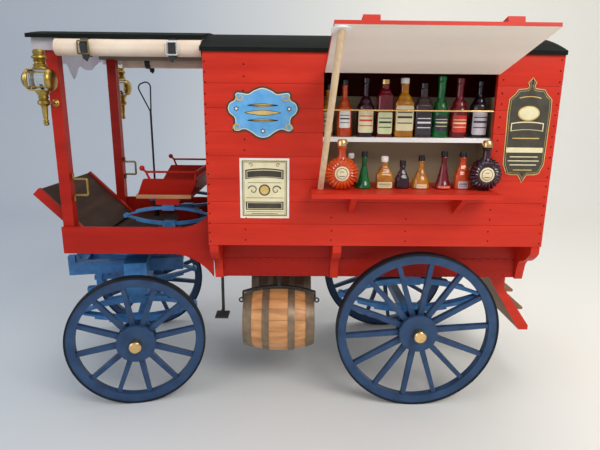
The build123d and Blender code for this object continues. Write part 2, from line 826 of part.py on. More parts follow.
# Futchells: two bars through the bolster, joined in front by the pole socket, with a sway bar below
with BuildPart() as futchells:
    low = futchell_top_z - futchell_depth
    inner = futchell_y - futchell_width / 2
    outer = futchell_y + futchell_width / 2
    for side in (-1, 1):
        edges = sorted((side * inner, side * outer))
        board((-futchell_front, futchell_rear), edges, (low, futchell_top_z), fore)
        knob_x = (-futchell_front, -futchell_front + futchell_knob)
        board(knob_x, edges, (futchell_top_z, futchell_top_z + futchell_knob), fore)
        board((-hound_front, -half), edges, (hound_z, hound_z + hound_size), fore)
        board(hound_strut_x, edges, (hound_z + hound_size, low), fore)
        board((-half - 6, -half), edges, (hound_z + hound_size, low), fore)
    board((-futchell_front, -futchell_front + 16), (-inner, inner), (low + 2, futchell_top_z - 2), fore)
    board((futchell_rear - 8, futchell_rear), (-inner, inner), (low + 2, futchell_top_z - 2), fore)
    rod(
        (-futchell_front + 8, 0, low),
        (-futchell_front + 8, 0, futchell_top_z),
        pole_pin_radius,
        fore,
        Mode.SUBTRACT,
    )
keep(futchells.part, "futchells")

with BuildPart() as front_springs:
    for side in (-1, 1):
        elliptic_spring(
            (0, side * spring_y, bolster_bottom_z - front_spring_height / 2),
            front_spring_length,
            front_spring_height,
            spring_width,
            spring_leaf,
            spring_leaves,
            spring_clamp_length,
            fore,
        )
keep(front_springs.part, "front_springs")
make_axle("front", fore, front_wheel_radius)

# Rear springs stand on the rear axle and carry the lower floor
rear_base = Plane(origin=(rear_axle_x, 0, 0), x_dir=(1, 0, 0), z_dir=(0, 0, 1))
rear_spring_bottom = rear_wheel_radius + axle_bar / 2
with BuildPart() as rear_springs:
    for side in (-1, 1):
        elliptic_spring(
            (0, side * spring_y, rear_spring_bottom + rear_spring_height / 2),
            rear_spring_length,
            rear_spring_height,
            spring_width,
            spring_leaf,
            spring_leaves,
            spring_clamp_length,
            rear_base,
        )
        half = spring_clamp_length / 2
        edges = sorted((side * (spring_y - spring_width / 2), side * (spring_y + spring_width / 2)))
        board((-half, half), edges, (rear_spring_bottom + rear_spring_height, lower_bottom_z), rear_base)
keep(rear_springs.part, "rear_springs")
make_axle("rear", rear_base, rear_wheel_radius)

# Four wheels
wheel_places = (
    ("front_left", fore, -1, front_wheel_radius, front_spokes, front_spoke_phase),
    ("front_right", fore, 1, front_wheel_radius, front_spokes, front_spoke_phase),
    ("rear_left", rear_base, -1, rear_wheel_radius, rear_spokes, rear_spoke_phase),
    ("rear_right", rear_base, 1, rear_wheel_radius, rear_spokes, rear_spoke_phase),
)  # name, base, side, radius, spokes, angle of the first spoke
for name, base, side, radius, spokes, phase in wheel_places:
    hub = Plane(
        origin=base.from_local_coords((0, side * track / 2, radius)),
        x_dir=base.x_dir,
        z_dir=base.y_dir * side,
    )
    make_wheel(name, hub, radius, spokes, phase)

# Serving hatch: counter, shelf, back and retaining rail
counter_top_z = hatch_bottom_z + counter_thickness + seat_gap
shelf_back_y = -box_half_width + wall + shelf_depth
with BuildPart() as counter:
    board(
        (hatch_x[0] + seat_gap, hatch_x[1] - seat_gap),
        (-box_half_width, shelf_back_y),
        (counter_top_z - counter_thickness, counter_top_z),
    )
    board(
        counter_x,
        (-box_half_width - counter_reach, -box_half_width),
        (counter_top_z - counter_thickness, counter_top_z),
    )
    for x in counter_bracket_x:
        with BuildSketch(Plane.YZ.offset(x - counter_bracket_thickness / 2)):
            wall_y = -box_half_width
            under = counter_top_z - counter_thickness
            Polygon(
                (wall_y, under),
                (wall_y - counter_bracket_size[0], under),
                (wall_y - counter_bracket_size[0], under - 3),
                (wall_y - 3, under - counter_bracket_size[1]),
                (wall_y, under - counter_bracket_size[1]),
            )
        extrude(amount=counter_bracket_thickness)
keep(counter.part, "counter")

cheek_x = (hatch_x[0] - shelf_bearing, hatch_x[1] + shelf_bearing)
with BuildPart() as shelf:
    board(cheek_x, (-box_inner, shelf_back_y), (shelf_top_z - shelf_thickness, shelf_top_z))
keep(shelf.part, "shelf")

with BuildPart() as shelf_back:
    outside_x = (cheek_x[0] - shelf_back_thickness, cheek_x[1] + shelf_back_thickness)
    case_z = (counter_top_z - counter_thickness, shelf_back_top_z)
    board(outside_x, (shelf_back_y, shelf_back_y + shelf_back_thickness), case_z)
    board((outside_x[0], cheek_x[0]), (-box_inner, shelf_back_y), case_z)
    board((cheek_x[1], outside_x[1]), (-box_inner, shelf_back_y), case_z)
keep(shelf_back.part, "shelf_back")

with BuildPart() as bottle_rail:
    y = -box_half_width + wall / 2
    rod((hatch_x[0] + 0.1, y, bottle_rail_z), (hatch_x[1] - 0.1, y, bottle_rail_z), bottle_rail_radius)
keep(bottle_rail.part, "bottle_rail")

# Lid, hinged along the top of the hatch and standing on its prop
hinge_y = -box_half_width - lid_knuckle_radius - seat_gap
hinge_z = hatch_top_z
lid_plane = Plane(
    origin=(0, hinge_y, hinge_z),
    x_dir=(1, 0, 0),
    z_dir=(0, sin(radians(lid_angle)), cos(radians(lid_angle))),
)
lid_x = (hatch_x[0] + lid_clearance, hatch_x[1] - lid_clearance)
with BuildPart() as lid:
    board(lid_x, (-lid_length, 0), (-lid_thickness, 0), lid_plane)
    for x in lid_batten_x:
        half = lid_knuckle_length / 2
        rod((x - half, 0, 0), (x + half, 0, 0), lid_knuckle_radius, lid_plane)
    relief_y = (-lid_thickness, lid_thickness)
    board(lid_x, relief_y, (-2 * lid_thickness, -lid_knuckle_radius), lid_plane, Mode.SUBTRACT)
keep(lid.part, "hatch_lid")

with BuildPart() as lid_battens:
    for x in lid_batten_x:
        half = lid_batten_size[0] / 2
        board((x - half, x + half), (-lid_length, -12), (0, lid_batten_size[1]), lid_plane)
keep(lid_battens.part, "lid_battens")

lid_normal = lid_plane.z_dir


def under_lid_z(y):
    """Height of the lid's underside at a distance along Y."""
    return hinge_z - tan(radians(lid_angle)) * (y - hinge_y) - lid_thickness / cos(radians(lid_angle))


socket_y = -box_half_width - prop_head_reach
socket_centre = Vector(prop_head_x, socket_y, under_lid_z(socket_y))
with BuildPart() as prop_socket:
    with BuildSketch(Plane(origin=socket_centre, z_dir=-lid_normal)):
        Circle(prop_socket_radius)
    extrude(amount=prop_socket_thickness)
keep(prop_socket.part, "prop_socket")

prop_top = socket_centre - lid_normal * (prop_socket_thickness + 0.2)
prop_bottom = Vector(prop_foot_x, -box_half_width - prop_foot_reach, counter_top_z)
with BuildPart() as prop:
    axis = (prop_top - prop_bottom).normalized()
    rod(prop_bottom - axis * 2 * prop_radius, prop_top + axis * 2 * prop_radius, prop_radius)
    split(bisect_by=Plane.XY.offset(counter_top_z), keep=Keep.TOP)
    split(bisect_by=Plane(origin=prop_top, z_dir=lid_normal), keep=Keep.BOTTOM)
keep(prop.part, "lid_prop")

# Bottles
upper_bottle_y = -box_half_width + upper_bottle_inset
with BuildPart() as upper_row:
    for x, body, body_height, neck, height in upper_bottles:
        plane = Plane(origin=(x, upper_bottle_y, shelf_top_z), x_dir=(1, 0, 0), z_dir=(0, -1, 0))
        shoulder = body_height + 0.7 * (height - body_height) * 0.5
        with BuildSketch(plane):
            Polygon((0, 0), (body, 0), (body, body_height), (neck, shoulder), (neck, height), (0, height))
        revolve(axis=Axis((x, upper_bottle_y, shelf_top_z), (0, 0, 1)))
keep(upper_row.part, "upper_bottles")

sunburst_y = -box_half_width + sunburst_inset
with BuildPart() as lower_row:
    for x, inset, foot, shoulder, shoulder_height, neck, height in lower_bottles:
        y = -box_half_width + inset
        plane = Plane(origin=(x, y, counter_top_z), x_dir=(1, 0, 0), z_dir=(0, -1, 0))
        neck_start = shoulder_height + (height - shoulder_height) * 0.35
        with BuildSketch(plane):
            shape = [(0, 0), (foot, 0), (shoulder, shoulder_height), (neck, neck_start), (neck, height)]
            Polygon(*shape, (0, height))
        revolve(axis=Axis((x, y, counter_top_z), (0, 0, 1)))
    for x in sunburst_x:
        with BuildSketch(side_plane(sunburst_y + sunburst_thickness / 2)):
            with Locations((x, counter_top_z + sunburst_radius)):
                Circle(sunburst_radius)
        extrude(amount=sunburst_thickness)
        rod((x, sunburst_y, counter_top_z + 10), (x, sunburst_y, counter_top_z + sunburst_height), 3.4)
keep(lower_row.part, "lower_bottles")

# Rear door, its hinges and knob
door_hinge_x = box_rear_x + 0.8
door_hinge_y = door_half_width + 0.2
with BuildPart() as door:
    board(
        (box_rear_x - wall, box_rear_x),
        (-door_half_width + door_clearance, door_half_width - door_clearance),
        (door_bottom_z + door_clearance, door_top_z - door_clearance),
    )
keep(door.part, "rear_door")

with BuildPart() as door_fittings:
    for z in (door_bottom_z + 26, door_top_z - 26):
        rod((door_hinge_x + 0.4, door_hinge_y, z - 6), (door_hinge_x + 0.4, door_hinge_y, z + 6), 1.1)
        strap_y = (door_half_width - door_strap_length, door_half_width - door_clearance)
        board((box_rear_x, box_rear_x + 0.8), strap_y, (z - 3.5, z + 3.5))
    knob_y = -door_half_width + 8
    knob_z = (door_bottom_z + door_top_z) / 2 - 6
    rod((box_rear_x, knob_y, knob_z), (box_rear_x + 3, knob_y, knob_z), 1.6)
    with Locations((box_rear_x + 4.5, knob_y, knob_z)):
        Sphere(door_knob_radius)
keep(door_fittings.part, "door_fittings")

# Rear steps
stringer_points = (
    (step_top_x[0], lower_bottom_z),
    (step_top_x[1], lower_bottom_z),
    (step_top_x[1], step_kink_z),
    (step_bottom_x[1], step_heel_z),
    (step_bottom_x[1], step_bottom_z),
    (step_bottom_x[0], step_bottom_z),
)
with BuildPart() as stringers:
    for outer_y in (step_half_width, -step_half_width + step_stringer):
        with BuildSketch(side_plane(outer_y)):
            Polygon(*stringer_points)
        extrude(amount=step_stringer)
keep(stringers.part, "step_stringers")

slope = (step_bottom_x[0] - step_top_x[0]) / (lower_bottom_z - step_bottom_z)
with BuildPart() as treads:
    tread_inner = step_half_width - step_stringer
    with BuildSketch(side_plane(tread_inner)):
        run = step_back_thickness * sqrt(1 + slope**2)
        Polygon(
            (step_top_x[0], lower_bottom_z),
            (step_top_x[0] + run, lower_bottom_z),
            (step_bottom_x[0] + run, step_bottom_z),
            (step_bottom_x[0], step_bottom_z),
        )
    extrude(amount=2 * tread_inner)
    for number in range(step_treads):
        z = step_bottom_z + 1.5 + number * (lower_bottom_z - step_bottom_z - 8) / step_treads
        front_x = step_top_x[0] + (lower_bottom_z - z) * slope
        rear_x = min(front_x + step_tread_depth, step_bottom_x[1])
        board((front_x, rear_x), (-tread_inner, tread_inner), (z, z + step_tread_thickness))
keep(treads.part, "step_treads")

# Barrels slung under the body, with iron hoops and hangers
bulge = barrel_bulge_radius - barrel_end_radius
stave_radius = (barrel_length**2 / 4 + bulge**2) / (2 * bulge)


def stave_height(along):
    """Barrel radius at a distance from its middle."""
    return barrel_bulge_radius - stave_radius + sqrt(stave_radius**2 - along**2)


with BuildPart() as barrels:
    for side in (-1, 1):
        plane = Plane(origin=(barrel_x, side * barrel_y, barrel_z), x_dir=(1, 0, 0), z_dir=(0, -1, 0))
        half = barrel_length / 2
        with BuildSketch(plane):
            with BuildLine():
                ThreePointArc(
                    (-half, barrel_end_radius), (0, barrel_bulge_radius), (half, barrel_end_radius)
                )
                Polyline(
                    (half, barrel_end_radius),
                    (half, barrel_end_radius - 2),
                    (half - 3, barrel_end_radius - 2.4),
                    (half - 3, 0),
                    (-half + 3, 0),
                    (-half + 3, barrel_end_radius - 2.4),
                    (-half, barrel_end_radius - 2),
                    (-half, barrel_end_radius),
                )
            make_face()
        revolve(axis=Axis((barrel_x, side * barrel_y, barrel_z), (1, 0, 0)))
keep(barrels.part, "barrels")

with BuildPart() as hoops:
    for side in (-1, 1):
        plane = Plane(origin=(barrel_x, side * barrel_y, barrel_z), x_dir=(1, 0, 0), z_dir=(0, -1, 0))
        for place, width in barrel_hoops:
            ends = (place - width / 2, place, place + width / 2)
            with BuildSketch(plane):
                with BuildLine():
                    ThreePointArc(*[(along, stave_height(along) + 0.05) for along in ends])
                    ThreePointArc(*[(along, stave_height(along) + hoop_thickness) for along in ends])
                    for along in (ends[0], ends[2]):
                        stave = stave_height(along)
                        Line((along, stave + 0.05), (along, stave + hoop_thickness))
                make_face()
            revolve(axis=Axis((barrel_x, side * barrel_y, barrel_z), (1, 0, 0)))
keep(hoops.part, "barrel_hoops")

hanger_rise = barrel_bulge_radius + hoop_thickness + 1.0
with BuildPart() as hangers:
    for side in (-1, 1):
        with BuildSketch(side_plane(side * barrel_y + hanger_width / 2)):
            reach = barrel_length / 2 + seat_gap
            drop_z = barrel_z + barrel_end_radius - 1.0
            top_z = barrel_z + hanger_rise
            with BuildLine():
                under_ends = [(barrel_x + end * reach, drop_z + 4.5) for end in (-1, 1)]
                ThreePointArc(under_ends[0], (barrel_x, top_z + 0.5), under_ends[1])
                Line((barrel_x + reach, drop_z + 4.5), (barrel_x + reach, drop_z - 4))
                Line((barrel_x + reach, drop_z - 4), (barrel_x + reach + hanger_thickness, drop_z - 4))
                Line(
                    (barrel_x + reach + hanger_thickness, drop_z - 4),
                    (barrel_x + reach + hanger_thickness, drop_z + 5),
                )
                ThreePointArc(
                    (barrel_x + reach + hanger_thickness, drop_z + 5),
                    (barrel_x, top_z + 0.5 + hanger_thickness),
                    (barrel_x - reach - hanger_thickness, drop_z + 5),
                )
                Line(
                    (barrel_x - reach - hanger_thickness, drop_z + 5),
                    (barrel_x - reach - hanger_thickness, drop_z - 4),
                )
                Line((barrel_x - reach - hanger_thickness, drop_z - 4), (barrel_x - reach, drop_z - 4))
                Line((barrel_x - reach, drop_z - 4), (barrel_x - reach, drop_z + 4.5))
            make_face()
        extrude(amount=hanger_width)
        rod(
            (barrel_x, side * barrel_y, top_z + 1.0),
            (barrel_x, side * barrel_y, lower_bottom_z),
            hanger_width / 2,
        )
keep(hangers.part, "barrel_hangers")

# Iron step by the driver's place
with BuildPart() as iron_step:
    y = -lower_inner + 1
    thickness = (iron_step_z - iron_step_plate_thickness, iron_step_z)
    board((iron_step_x - 5, iron_step_x + 5), (y - 3, y + 3), (lower_bottom_z - 1.2, lower_bottom_z))
    rod((iron_step_x, y, thickness[0]), (iron_step_x, y, lower_bottom_z - 1), iron_step_rod)
    board(
        (iron_step_x - iron_step_rod, iron_step_x + iron_step_rod), (iron_step_plate_y[1] - 1, y), thickness
    )
    board(iron_step_plate_x, iron_step_plate_y, thickness)
keep(iron_step.part, "iron_step")

# Coach lamps on arms from the posts: a drum with a front lens and a dished back, chimney and stem
with BuildPart() as lamp_brass:
    for side in (-1, 1):
        y = side * lamp_y
        along = Plane(origin=(post_x, y, lamp_z), x_dir=(1, 0, 0), z_dir=(0, -1, 0))
        axle = Axis((post_x, y, lamp_z), (1, 0, 0))
        upright = Axis((post_x, y, lamp_z), (0, 0, 1))
        with BuildSketch(along):
            Polygon(*lamp_rim)
            Polygon(*lamp_dish)
        revolve(axis=axle)
        with BuildSketch(along):
            Polygon(*lamp_chimney)
        revolve(axis=upright)
        with BuildSketch(along):
            Polygon(*lamp_stem)
        revolve(axis=upright)
        for up in (-1, 1):
            board(
                (post_x + lamp_plate_x[0], post_x + lamp_plate_x[1]),
                (y - lamp_plate_half_width, y + lamp_plate_half_width),
                sorted((lamp_z + up * lamp_wall_half, lamp_z + up * (lamp_wall_half - lamp_wall_thickness))),
            )
        arm_z = lamp_z - lamp_arm_drop
        rose_y = side * (driver_inner + lamp_rose_thickness)
        rod((post_x, y, arm_z), (post_x, side * driver_inner, arm_z), lamp_arm_radius)
        rod((post_x, rose_y, arm_z), (post_x, side * driver_inner, arm_z), lamp_rose_radius)
keep(lamp_brass.part, "lamp_brass")

with BuildPart() as lamp_glass:
    for side in (-1, 1):
        y = side * lamp_y
        along = Plane(origin=(post_x, y, lamp_z), x_dir=(1, 0, 0), z_dir=(0, -1, 0))
        with BuildSketch(along):
            Polygon(*lamp_lens)
        revolve(axis=Axis((post_x, y, lamp_z), (1, 0, 0)))
keep(lamp_glass.part, "lamp_glass")

# Whip standing in a socket on the far side board
with BuildPart() as whip:
    socket_top = board_top_z + whip_socket_rise
    rod((whip_x, whip_y, driver_floor_top_z), (whip_x, whip_y, socket_top), whip_socket_radius)
    rod((whip_x, whip_y, socket_top), (whip_x, whip_y, whip_top_z), whip_radius)
    loop = [Vector(whip_x + x, whip_y, whip_top_z + z) for x, z in whip_loop]
    with BuildLine():
        FilletPolyline(*loop, radius=whip_loop_bend)
    with BuildSketch(Plane(origin=loop[0], z_dir=loop[1] - loop[0])):
        Circle(whip_cord_radius)
    sweep()
keep(whip.part, "whip")

# Rolled curtains hung from the header rails, and the valance across the front
curtain_y = driver_inner + seat_gap + curtain_radius
with BuildPart() as curtains:
    for side in (-1, 1):
        y = side * curtain_y
        rod((curtain_front_x, y, curtain_z), (curtain_rear_x, y, curtain_z), curtain_radius)
keep(curtains.part, "curtain_rolls")

valance_top_z = under_canopy_z(valance_half_width) - seat_gap
with BuildPart() as valance:
    with BuildSketch(Plane.YZ.offset(valance_x)):
        with BuildLine():
            right_edge = [(share * valance_half_width, valance_top_z - drop) for share, drop in valance_edge]
            left_edge = [(-y, z) for y, z in reversed(right_edge[1:])]
            corners = [(side * valance_half_width, valance_top_z) for side in (-1, 1)]
            Polyline(corners[0], *left_edge, *right_edge, corners[1])
            ThreePointArc(corners[1], (0, under_canopy_z(0) - seat_gap), corners[0])
        make_face()
    extrude(amount=valance_thickness)
keep(valance.part, "front_valance")

# Move the origin under the middle of the whole and write one file for each piece
whole = Compound(children=[part.moved(Location()) for part in pieces.values()]).bounding_box()
home = Location((-(whole.min.X + whole.max.X) / 2, -(whole.min.Y + whole.max.Y) / 2, -whole.min.Z))
os.makedirs("parts", exist_ok=True)
for label, part in pieces.items():
    placed = part.moved(home)
    placed.label = label
    export_step(placed, f"parts/{label}.step")
print("size", whole.size, "moved by", home.position)
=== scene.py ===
from math import copysign, cos, exp, pi, radians, sin, sqrt, tau
from random import seed, uniform

import bmesh
import bpy
from mathutils import Matrix, Vector, noise


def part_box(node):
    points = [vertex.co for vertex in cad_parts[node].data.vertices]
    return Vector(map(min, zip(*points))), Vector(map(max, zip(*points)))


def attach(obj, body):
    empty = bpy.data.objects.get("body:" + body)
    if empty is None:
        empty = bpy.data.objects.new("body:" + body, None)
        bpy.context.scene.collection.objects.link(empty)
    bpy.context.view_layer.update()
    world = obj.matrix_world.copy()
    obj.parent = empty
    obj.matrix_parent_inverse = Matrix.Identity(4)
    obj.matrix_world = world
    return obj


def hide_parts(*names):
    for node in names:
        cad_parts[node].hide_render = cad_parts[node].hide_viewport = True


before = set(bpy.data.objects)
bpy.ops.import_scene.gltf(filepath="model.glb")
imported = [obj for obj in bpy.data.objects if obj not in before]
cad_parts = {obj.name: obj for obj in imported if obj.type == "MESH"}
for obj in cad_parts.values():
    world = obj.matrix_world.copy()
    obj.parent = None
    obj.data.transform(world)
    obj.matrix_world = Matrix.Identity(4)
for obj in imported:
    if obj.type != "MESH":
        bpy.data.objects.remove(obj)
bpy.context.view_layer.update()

MM = 0.001
seed(7)

# The wagon's own millimetres, as drawn: x along, y across, z up, measured from its own centreline
REAR_AXLE_X = 122.5
axle_low, axle_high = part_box("rear_axle")
HOME = Vector(((axle_low.x + axle_high.x) / 2 - REAR_AXLE_X * MM, (axle_low.y + axle_high.y) / 2, 0))
W = Matrix.Translation(HOME) @ Matrix.Scale(MM, 4)
LID_HINGE, LID_ANGLE = (0, -100.3, 324.5), radians(14.8)
LID = W @ Matrix.Translation(LID_HINGE) @ Matrix.Rotation(-LID_ANGLE, 4, "X")
ROOF_Z, ROOF_THICK, BOX_ARCH, CANOPY_ARCH = 363.4, 3.2, 259.4, 385
WALL_Y, SKIN = 99, 0.6  # outer face of the box sides, and the thickness of the planks on them
FACE_Y = WALL_Y + SKIN
SIDES = ((-1, "left"), (1, "right"))


def under(radius, y):
    """Height of a roof arch's underside at a distance from the centreline."""
    return ROOF_Z - radius + sqrt((radius - ROOF_THICK) ** 2 - y**2)


# Materials

EVEN, ALONG, STAVE = (1, 1, 1), (0.12, 1, 1), (0.15, 1, 1)  # how far a finish is drawn out along its grain
MATERIALS = {}


def srgb(*tone):
    """A screen colour as linear light."""
    shares = [c / 255 for c in tone]
    return tuple(c / 12.92 if c <= 10 / 255 else ((c + 0.055) / 1.055) ** 2.4 for c in shares) + (1,)


def put(node, **sockets):
    """Sets a node's sockets by their names."""
    for socket, value in sockets.items():
        node.inputs[socket.replace("_", " ")].default_value = value
    return node


def add(nodes, kind, **sockets):
    """A new shader node with its sockets set."""
    return put(nodes.new("ShaderNode" + kind), **sockets)


def surface(name, low, high, rough, grain, scale, bump, fine, depth=0.0001, **sockets):
    """A finish whose colour drifts between two tones along its grain, with a fine relief and uneven gloss."""
    mat = bpy.data.materials.new(name)
    mat.use_nodes = True
    nodes, link = mat.node_tree.nodes, mat.node_tree.links.new
    shader = nodes["Principled BSDF"]
    place = add(nodes, "TexCoord")
    mapping = add(nodes, "Mapping", Scale=grain)
    link(place.outputs["Object"], mapping.inputs["Vector"])
    broad = add(nodes, "TexNoise", Scale=scale, Detail=5)
    link(mapping.outputs[0], broad.inputs["Vector"])
    ramp = add(nodes, "ValToRGB")
    for end, position, tone in zip(ramp.color_ramp.elements, (0.3, 0.7), (low, high)):
        end.position = position
        end.color = srgb(*tone)
    link(broad.outputs["Fac"], ramp.inputs["Fac"])
    link(ramp.outputs["Color"], shader.inputs["Base Color"])
    small = add(nodes, "TexNoise", Scale=fine, Detail=3)
    link(mapping.outputs[0], small.inputs["Vector"])
    relief = add(nodes, "Bump", Strength=bump, Distance=depth)
    link(small.outputs["Fac"], relief.inputs["Height"])
    link(relief.outputs[0], shader.inputs["Normal"])
    gloss = add(nodes, "MapRange", To_Min=max(rough - 0.07, 0.02), To_Max=min(rough + 0.07, 1))
    link(small.outputs["Fac"], gloss.inputs["Value"])
    link(gloss.outputs[0], shader.inputs["Roughness"])
    put(shader, **sockets)
    MATERIALS[name] = mat
    return mat


def woven(mat, pitch):
    """Adds the threads of a plain weave to a cloth's relief."""
    nodes, link = mat.node_tree.nodes, mat.node_tree.links.new
    height = None
    for axis in ("X", "Y", "Z"):
        wave = add(nodes, "TexWave", Scale=BAND_SCALE / pitch, Distortion=0.6)
        wave.bands_direction = axis
        link(nodes["Texture Coordinate"].outputs["Object"], wave.inputs["Vector"])
        thread = wave.outputs["Fac"]
        if height:
            total = add(nodes, "Math")
            total.operation = "ADD"
            link(height, total.inputs[0])
            link(thread, total.inputs[1])
            thread = total.outputs[0]
        height = thread
    relief = add(nodes, "Bump", Strength=0.35, Distance=0.0001)
    link(height, relief.inputs["Height"])
    link(nodes["Bump"].outputs[0], relief.inputs["Normal"])
    link(relief.outputs[0], nodes["Principled BSDF"].inputs["Normal"])


PAINTS = {  # darker and lighter tone, roughness, grain, pattern, relief, its fineness, then shine and depth
    "red_paint": ((192, 38, 20), (212, 50, 28), 0.45, ALONG, 90, 0.35, 700, 0.25, 0.00015),
    # A darker copy of the red paint, painted shade: used on the seat, its blocks, the posts, the toe board
    # rails and the lower boards under the box.
    "red_paint_lower": ((158, 24, 10), (176, 32, 16), 0.45, ALONG, 80, 0.3, 700, 0.2, 0.00015),
    "wheel_blue": ((34, 58, 90), (48, 76, 112), 0.4, EVEN, 70, 0.25, 500, 0.3),
    "gear_blue": ((48, 104, 160), (72, 134, 192), 0.4, EVEN, 120, 0.4, 600),
    "roof_green": ((15, 19, 15), (26, 31, 26), 0.75, ALONG, 200, 0.5, 900, 0.1, 0.0002),
    "white_paint": ((240, 238, 234), (250, 248, 245), 0.5, ALONG, 60, 0.2, 600),
    "lid_cream": ((240, 230, 216), (248, 240, 228), 0.55, ALONG, 40, 0.2, 500),
    "cabinet": ((156, 144, 114), (176, 162, 130), 0.6, ALONG, 40, 0.2, 500),
    # A brown-grey copy of the white paint for the header rails, painted shade.
    "rail_painted_shade": ((150, 136, 118), (170, 156, 138), 0.7, ALONG, 60, 0.2, 600),
    "oiled_wood": ((48, 32, 24), (76, 52, 38), 0.65, (1, 0.1, 0.1), 150, 0.4, 900, 0.25),
    "edge_wood": ((158, 108, 70), (190, 140, 96), 0.6, (0.1, 1, 1), 200, 0.4, 900),
    "step_wood": ((120, 84, 52), (158, 112, 70), 0.6, (1, 0.1, 1), 180, 0.4, 900),
    "pale_wood": ((214, 180, 138), (234, 206, 168), 0.6, (1, 1, 0.08), 300, 0.3, 900),
    "barrel_wood": ((176, 118, 68), (222, 162, 106), 0.45, STAVE, 160, 0.3, 900),
    # A darker copy of the barrel wood for the far barrel, painted shade from the body above it.
    "barrel_painted_shade": ((92, 60, 44), (126, 84, 60), 0.5, STAVE, 160, 0.3, 900),
    "stave_joint": ((66, 42, 26), (92, 60, 38), 0.7, ALONG, 60, 0.2, 600),
    "tyre_iron": ((20, 22, 28), (32, 35, 42), 0.6, EVEN, 90, 0.3, 500, 0.2),
    "leather": ((18, 20, 20), (34, 36, 36), 0.5, EVEN, 300, 0.5, 900),
    "nail": ((62, 14, 14), (92, 20, 18), 0.75, EVEN, 300, 0.1, 500, 0.15),
    "flame": ((70, 60, 52), (104, 92, 78), 0.5, EVEN, 90, 0.2, 400),
}
PRINTS = {  # darker and lighter tone of the signs and labels, roughness
    "sign_blue": ((86, 158, 214), (112, 180, 230), 0.4),
    "sign_dark": ((52, 46, 38), (70, 62, 50), 0.4),
    "sign_gold": ((196, 160, 84), (226, 194, 120), 0.4),
    "sign_cream": ((226, 214, 168), (238, 228, 190), 0.6),
    "sign_white": ((232, 228, 222), (244, 242, 238), 0.5),
    "tablet": ((56, 52, 40), (76, 70, 56), 0.4),
    "label_lime": ((206, 214, 160), (222, 228, 182), 0.55),
    "label_red": ((196, 44, 28), (220, 60, 40), 0.5),
    "label_grey": ((176, 170, 178), (206, 200, 206), 0.55),
    "label_ink": ((40, 34, 44), (64, 56, 66), 0.5),
}
METALS = {  # darker and lighter tone, roughness, pattern, relief, its fineness, how metallic
    "lamp": ((150, 126, 60), (190, 164, 90), 0.36, 90, 0.2, 500, 1),
    "brass": ((214, 174, 110), (240, 204, 144), 0.24, 90, 0.2, 500, 1),
    "iron": ((40, 36, 32), (62, 56, 50), 0.55, 200, 0.5, 700, 0.3),
    "hoop": ((112, 94, 74), (142, 122, 98), 0.42, 120, 0.3, 700, 0.4),
    "silver": ((226, 224, 220), (250, 248, 244), 0.25, 100, 0.1, 500, 0.8),
    "old_brass": ((104, 92, 60), (140, 124, 84), 0.35, 100, 0.2, 500, 0.9),
}
RESINS = {  # tone in the body, tone where thin, how clear
    "amber": ((190, 112, 0), (236, 160, 16), 0.35),
    "orange": ((222, 66, 4), (250, 104, 22), 0.35),
    "purple": ((34, 8, 24), (62, 14, 36), 0.15),
    "maroon": ((92, 6, 24), (140, 16, 36), 0.2),
    "green": ((4, 92, 40), (16, 142, 66), 0.3),
    "black": ((20, 14, 20), (38, 28, 36), 0.1),
    "smoke": ((54, 34, 40), (84, 58, 62), 0.4),
}
CLOTHS = {"canvas_white": ((224, 221, 226), (240, 238, 242)), "canvas": ((218, 196, 172), (236, 218, 198))}
PANE = ((226, 228, 224), (244, 246, 244))
THREAD_PITCH, BAND_SCALE = 0.0006, 0.314  # metres, and a band texture's scale times its pitch



def paint(name, low, high, rough, grain, scale, bump, fine, shine=0.5, depth=0.0001):
    """A finish that isn't metal, with its own strength of reflection."""
    surface(name, low, high, rough, grain, scale, bump, fine, depth, Specular_IOR_Level=shine)


for name, values in PAINTS.items():
    paint(name, *values)
for name, values in PRINTS.items():
    surface(name, *values, EVEN, 120, 0.1, 600)
for name, (low, high, rough, scale, bump, fine, metallic) in METALS.items():
    surface(name, low, high, rough, EVEN, scale, bump, fine, Metallic=metallic)
for name, (deep, bright, clear) in RESINS.items():
    surface("glass_" + name, deep, bright, 0.13, EVEN, 120, 0.05, 300, Transmission_Weight=clear, IOR=1.45,
            Coat_Weight=0.6, Coat_Roughness=0.04)
for name, tones in CLOTHS.items():
    woven(surface(name, *tones, 0.85, EVEN, 50, 0.3, 500, Sheen_Weight=0.2), THREAD_PITCH)
surface("pane", *PANE, 0.05, EVEN, 60, 0.02, 200, Transmission_Weight=0.92, IOR=1.45)

CORNERS = ("front_left", "front_right", "rear_left", "rear_right")
FINISH = {
    "red_paint": ["overhang_brackets", "box_side_left", "box_side_right", "box_front_wall", "box_rear_wall",
                  "counter", "rear_door", "step_stringers", "lid_battens"],
    # These parts take the darker copy of the red, which is painted shade.
    "red_paint_lower": ["seat_body", "seat_blocks", "toe_board_rails", "posts", "lower_side_left",
                        "lower_side_right", "lower_end_panels"],
    "wheel_blue": [f"wheel_{corner}" for corner in CORNERS],
    "gear_blue": ["seat_springs", "rear_axle", "rear_springs", "turntable_top", "turntable_bottom",
                  "futchells", "front_axle", "front_springs"],
    "roof_green": ["roof"],
    "white_paint": ["shelf", "prop_socket"],
    # The header rails take the greyed white, which is painted shade.
    "rail_painted_shade": ["header_rails"],
    "lid_cream": ["hatch_lid"],
    "cabinet": ["shelf_back"],
    "oiled_wood": ["driver_floor", "lower_floor", "toe_board"],
    "edge_wood": ["seat_board"],
    "step_wood": ["step_treads"],
    "pale_wood": ["lid_prop"],
    "lamp": ["lamp_brass", "grab_handles"],
    "brass": ["front_axle_nuts", "rear_axle_nuts", "door_fittings", "bottle_rail"],
    "iron": ["iron_step", "barrel_hangers"],
    "hoop": ["barrel_hoops"],
    "tyre_iron": [f"tyre_{corner}" for corner in CORNERS],
    "canvas": ["curtain_rolls", "front_valance"],
    "leather": ["whip"],
    "barrel_wood": ["barrels"],
}
